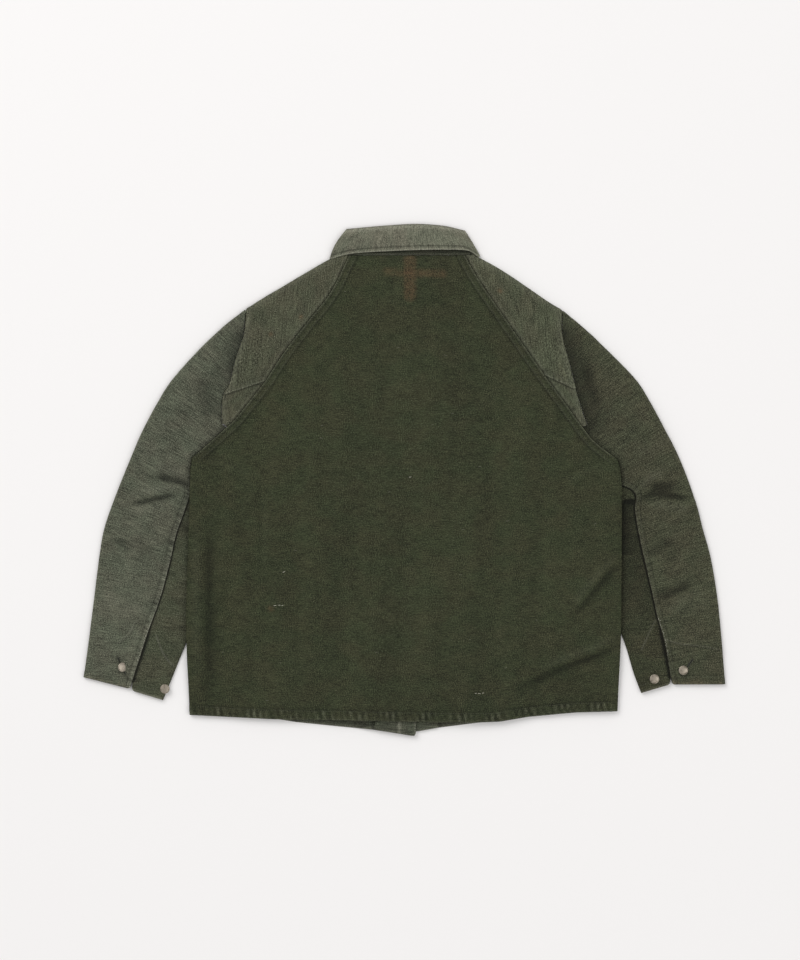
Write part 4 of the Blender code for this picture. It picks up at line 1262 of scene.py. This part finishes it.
def makeSlits():
    # the buttonholes of the cuffs: close bars of thread round a dark tube that lies in the slit as painted
    # shadow
    for cut, name in ((leftCut, "Left"), (rightCut, "Right")):
        on = "sleeveOuter" + name
        a, b = np.array(cut["slit"], float)
        along, length = unit(b - a), np.linalg.norm(b - a)
        across = np.array([-along[1], along[0]])
        starts, ends = [], []
        for reach in np.arange(0, length, slit["pitch"]):
            for side in (-1, 1):
                inner, outer = (a + along * reach + across * side * far for far in slit["bar"])
                low, high = heightOn(on, *inner), heightOn(on, *outer)
                if low is not None and high is not None:
                    starts.append((*inner, low + 0.06))
                    ends.append((*outer, high - 0.02))
        makeThreads("slitThreads" + name, starts, ends, slit["thread"], threads["light"])
        usual = heightOn(on, *(a + along * 0.5))
        places = [a + along * reach for reach in np.linspace(slit["ends"], length - slit["ends"], 9)]
        chain = [(*place, (heightOn(on, *place) or usual) + 0.1) for place in places]
        makeThreads("slitShadow" + name, chain[:-1], chain[1:], slit["dark"], threads["hole"])


# Snap caps: half profile as radius, height and how deep in shadow it lies, in millimetres
snapLook = {"bright": (158, 149, 135), "tarnishAndShade": (88, 80, 67), "sides": 56,
            "lift": 0.05, "tiltLift": 1.98, "usualTilt": 1.5, "tilt": {"snap_left_outer": 30}}
snapProfile = [(0, 0, 1), (6.3, 0, 1), (6.7, 0.15, 0.9), (6.9, 0.5, 0.6), (6.9, 0.9, 0.3), (6.75, 1.25, 0.1),
               (6.45, 1.5, 0), (6.1, 1.58, 0.1), (5.85, 1.54, 0.6), (5.6, 1.54, 0.6), (5.3, 1.62, 0.2),
               (4.6, 1.76, 0), (3.6, 1.9, 0), (2.4, 2.0, 0), (1.2, 2.06, 0), (0, 2.08, 0)]


def makeSnap(node, place, on, material):
    # a turned cap: the profile goes round the axis, radius and height straight from the list
    radius, level, depth = np.array(snapProfile[1:-1]).T
    angle = np.linspace(0, 2 * np.pi, snapLook["sides"], endpoint=False)
    out = radius[:, None]
    wall = np.dstack([out * np.cos(angle), out * np.sin(angle), level[:, None] + 0 * angle])
    points = np.vstack([wall.reshape(-1, 3), [[0, 0, snapProfile[0][1]], [0, 0, snapProfile[-1][1]]]])
    low = np.concatenate([np.repeat(depth, len(angle)), [1, 0]])
    tilt = np.radians(snapLook["tilt"].get(node, snapLook["usualTilt"]))
    x, y, z = points.T
    turned = np.column_stack([x * np.cos(tilt) + z * np.sin(tilt), y, z * np.cos(tilt) - x * np.sin(tilt)])
    turned += [*place, heightOn(on, *place) + snapLook["lift"] + snapLook["tiltLift"] * np.sin(tilt)]
    first, *rest = node.split("_")
    name = first + "".join(word.capitalize() for word in rest)
    piece = addPiece(name, turned, tubeFaces(1, len(radius), len(angle)), material, attributes={"low": low})
    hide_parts(node)


def makeSnaps():
    metal = snapMaterial("old silvered metal", snapLook)
    for cut, side in ((leftCut, "left"), (rightCut, "right")):
        for place, which, on in zip(cut["snaps"], ("outer", "inner"), ("sleeveOuter", "sleeveUnder")):
            makeSnap(f"snap_{side}_{which}", place, on + side.capitalize(), metal)


sewEverything()
makeFlecks()
makeSlits()
makeSnaps()
print("stitches and snaps made")


# Studio, in metres; a light is its name, place, size and power
studio = {
    "floor": (241, 239, 238), "floorSize": 14.0, "world": 0.66, "camera": 6.0, "view": 1.392,
    "centre": (-0.0064, 0.00066),
    "lights": [("window", (-3.4, 3.8, 4.8), 4.4, 205), ("fill", (3.8, -1.2, 5.2), 5.0, 86)],
}


def makeStudio():
    scene = bpy.context.scene
    corners = np.array([[-1, -1, 0], [1, -1, 0], [1, 1, 0], [-1, 1, 0]]) * studio["floorSize"]
    floor = makeMesh("floor", corners, np.array([[0, 1, 2, 3]]), smoothFaces=False)
    made, shader, _ = newMaterial("pale floor")
    shader.inputs["Base Color"].default_value = linear(studio["floor"])
    shader.inputs["Roughness"].default_value = 0.9
    floor.data.materials.append(made)
    world = bpy.data.worlds.new("studio")
    world.use_nodes = True
    world.node_tree.nodes["Background"].inputs[0].default_value = (1, 1, 1, 1)
    world.node_tree.nodes["Background"].inputs[1].default_value = studio["world"]
    scene.world = world
    for name, place, size, power in studio["lights"]:
        lamp = bpy.data.lights.new(name, "AREA")
        lamp.size, lamp.energy = size, power
        light = bpy.data.objects.new(name, lamp)
        light.location = place
        towards = np.array(place) / np.linalg.norm(place)
        light.rotation_euler = (np.arccos(towards[2]), 0, np.arctan2(towards[0], -towards[1]))
        scene.collection.objects.link(light)
    eye = bpy.data.cameras.new("camera")
    eye.lens = eye.sensor_width * studio["camera"] / studio["view"]
    camera = bpy.data.objects.new("camera", eye)
    camera.location = (*studio["centre"], studio["camera"])
    scene.collection.objects.link(camera)
    scene.camera = camera
    scene.view_settings.view_transform = "Standard"


makeStudio()
print("studio made")
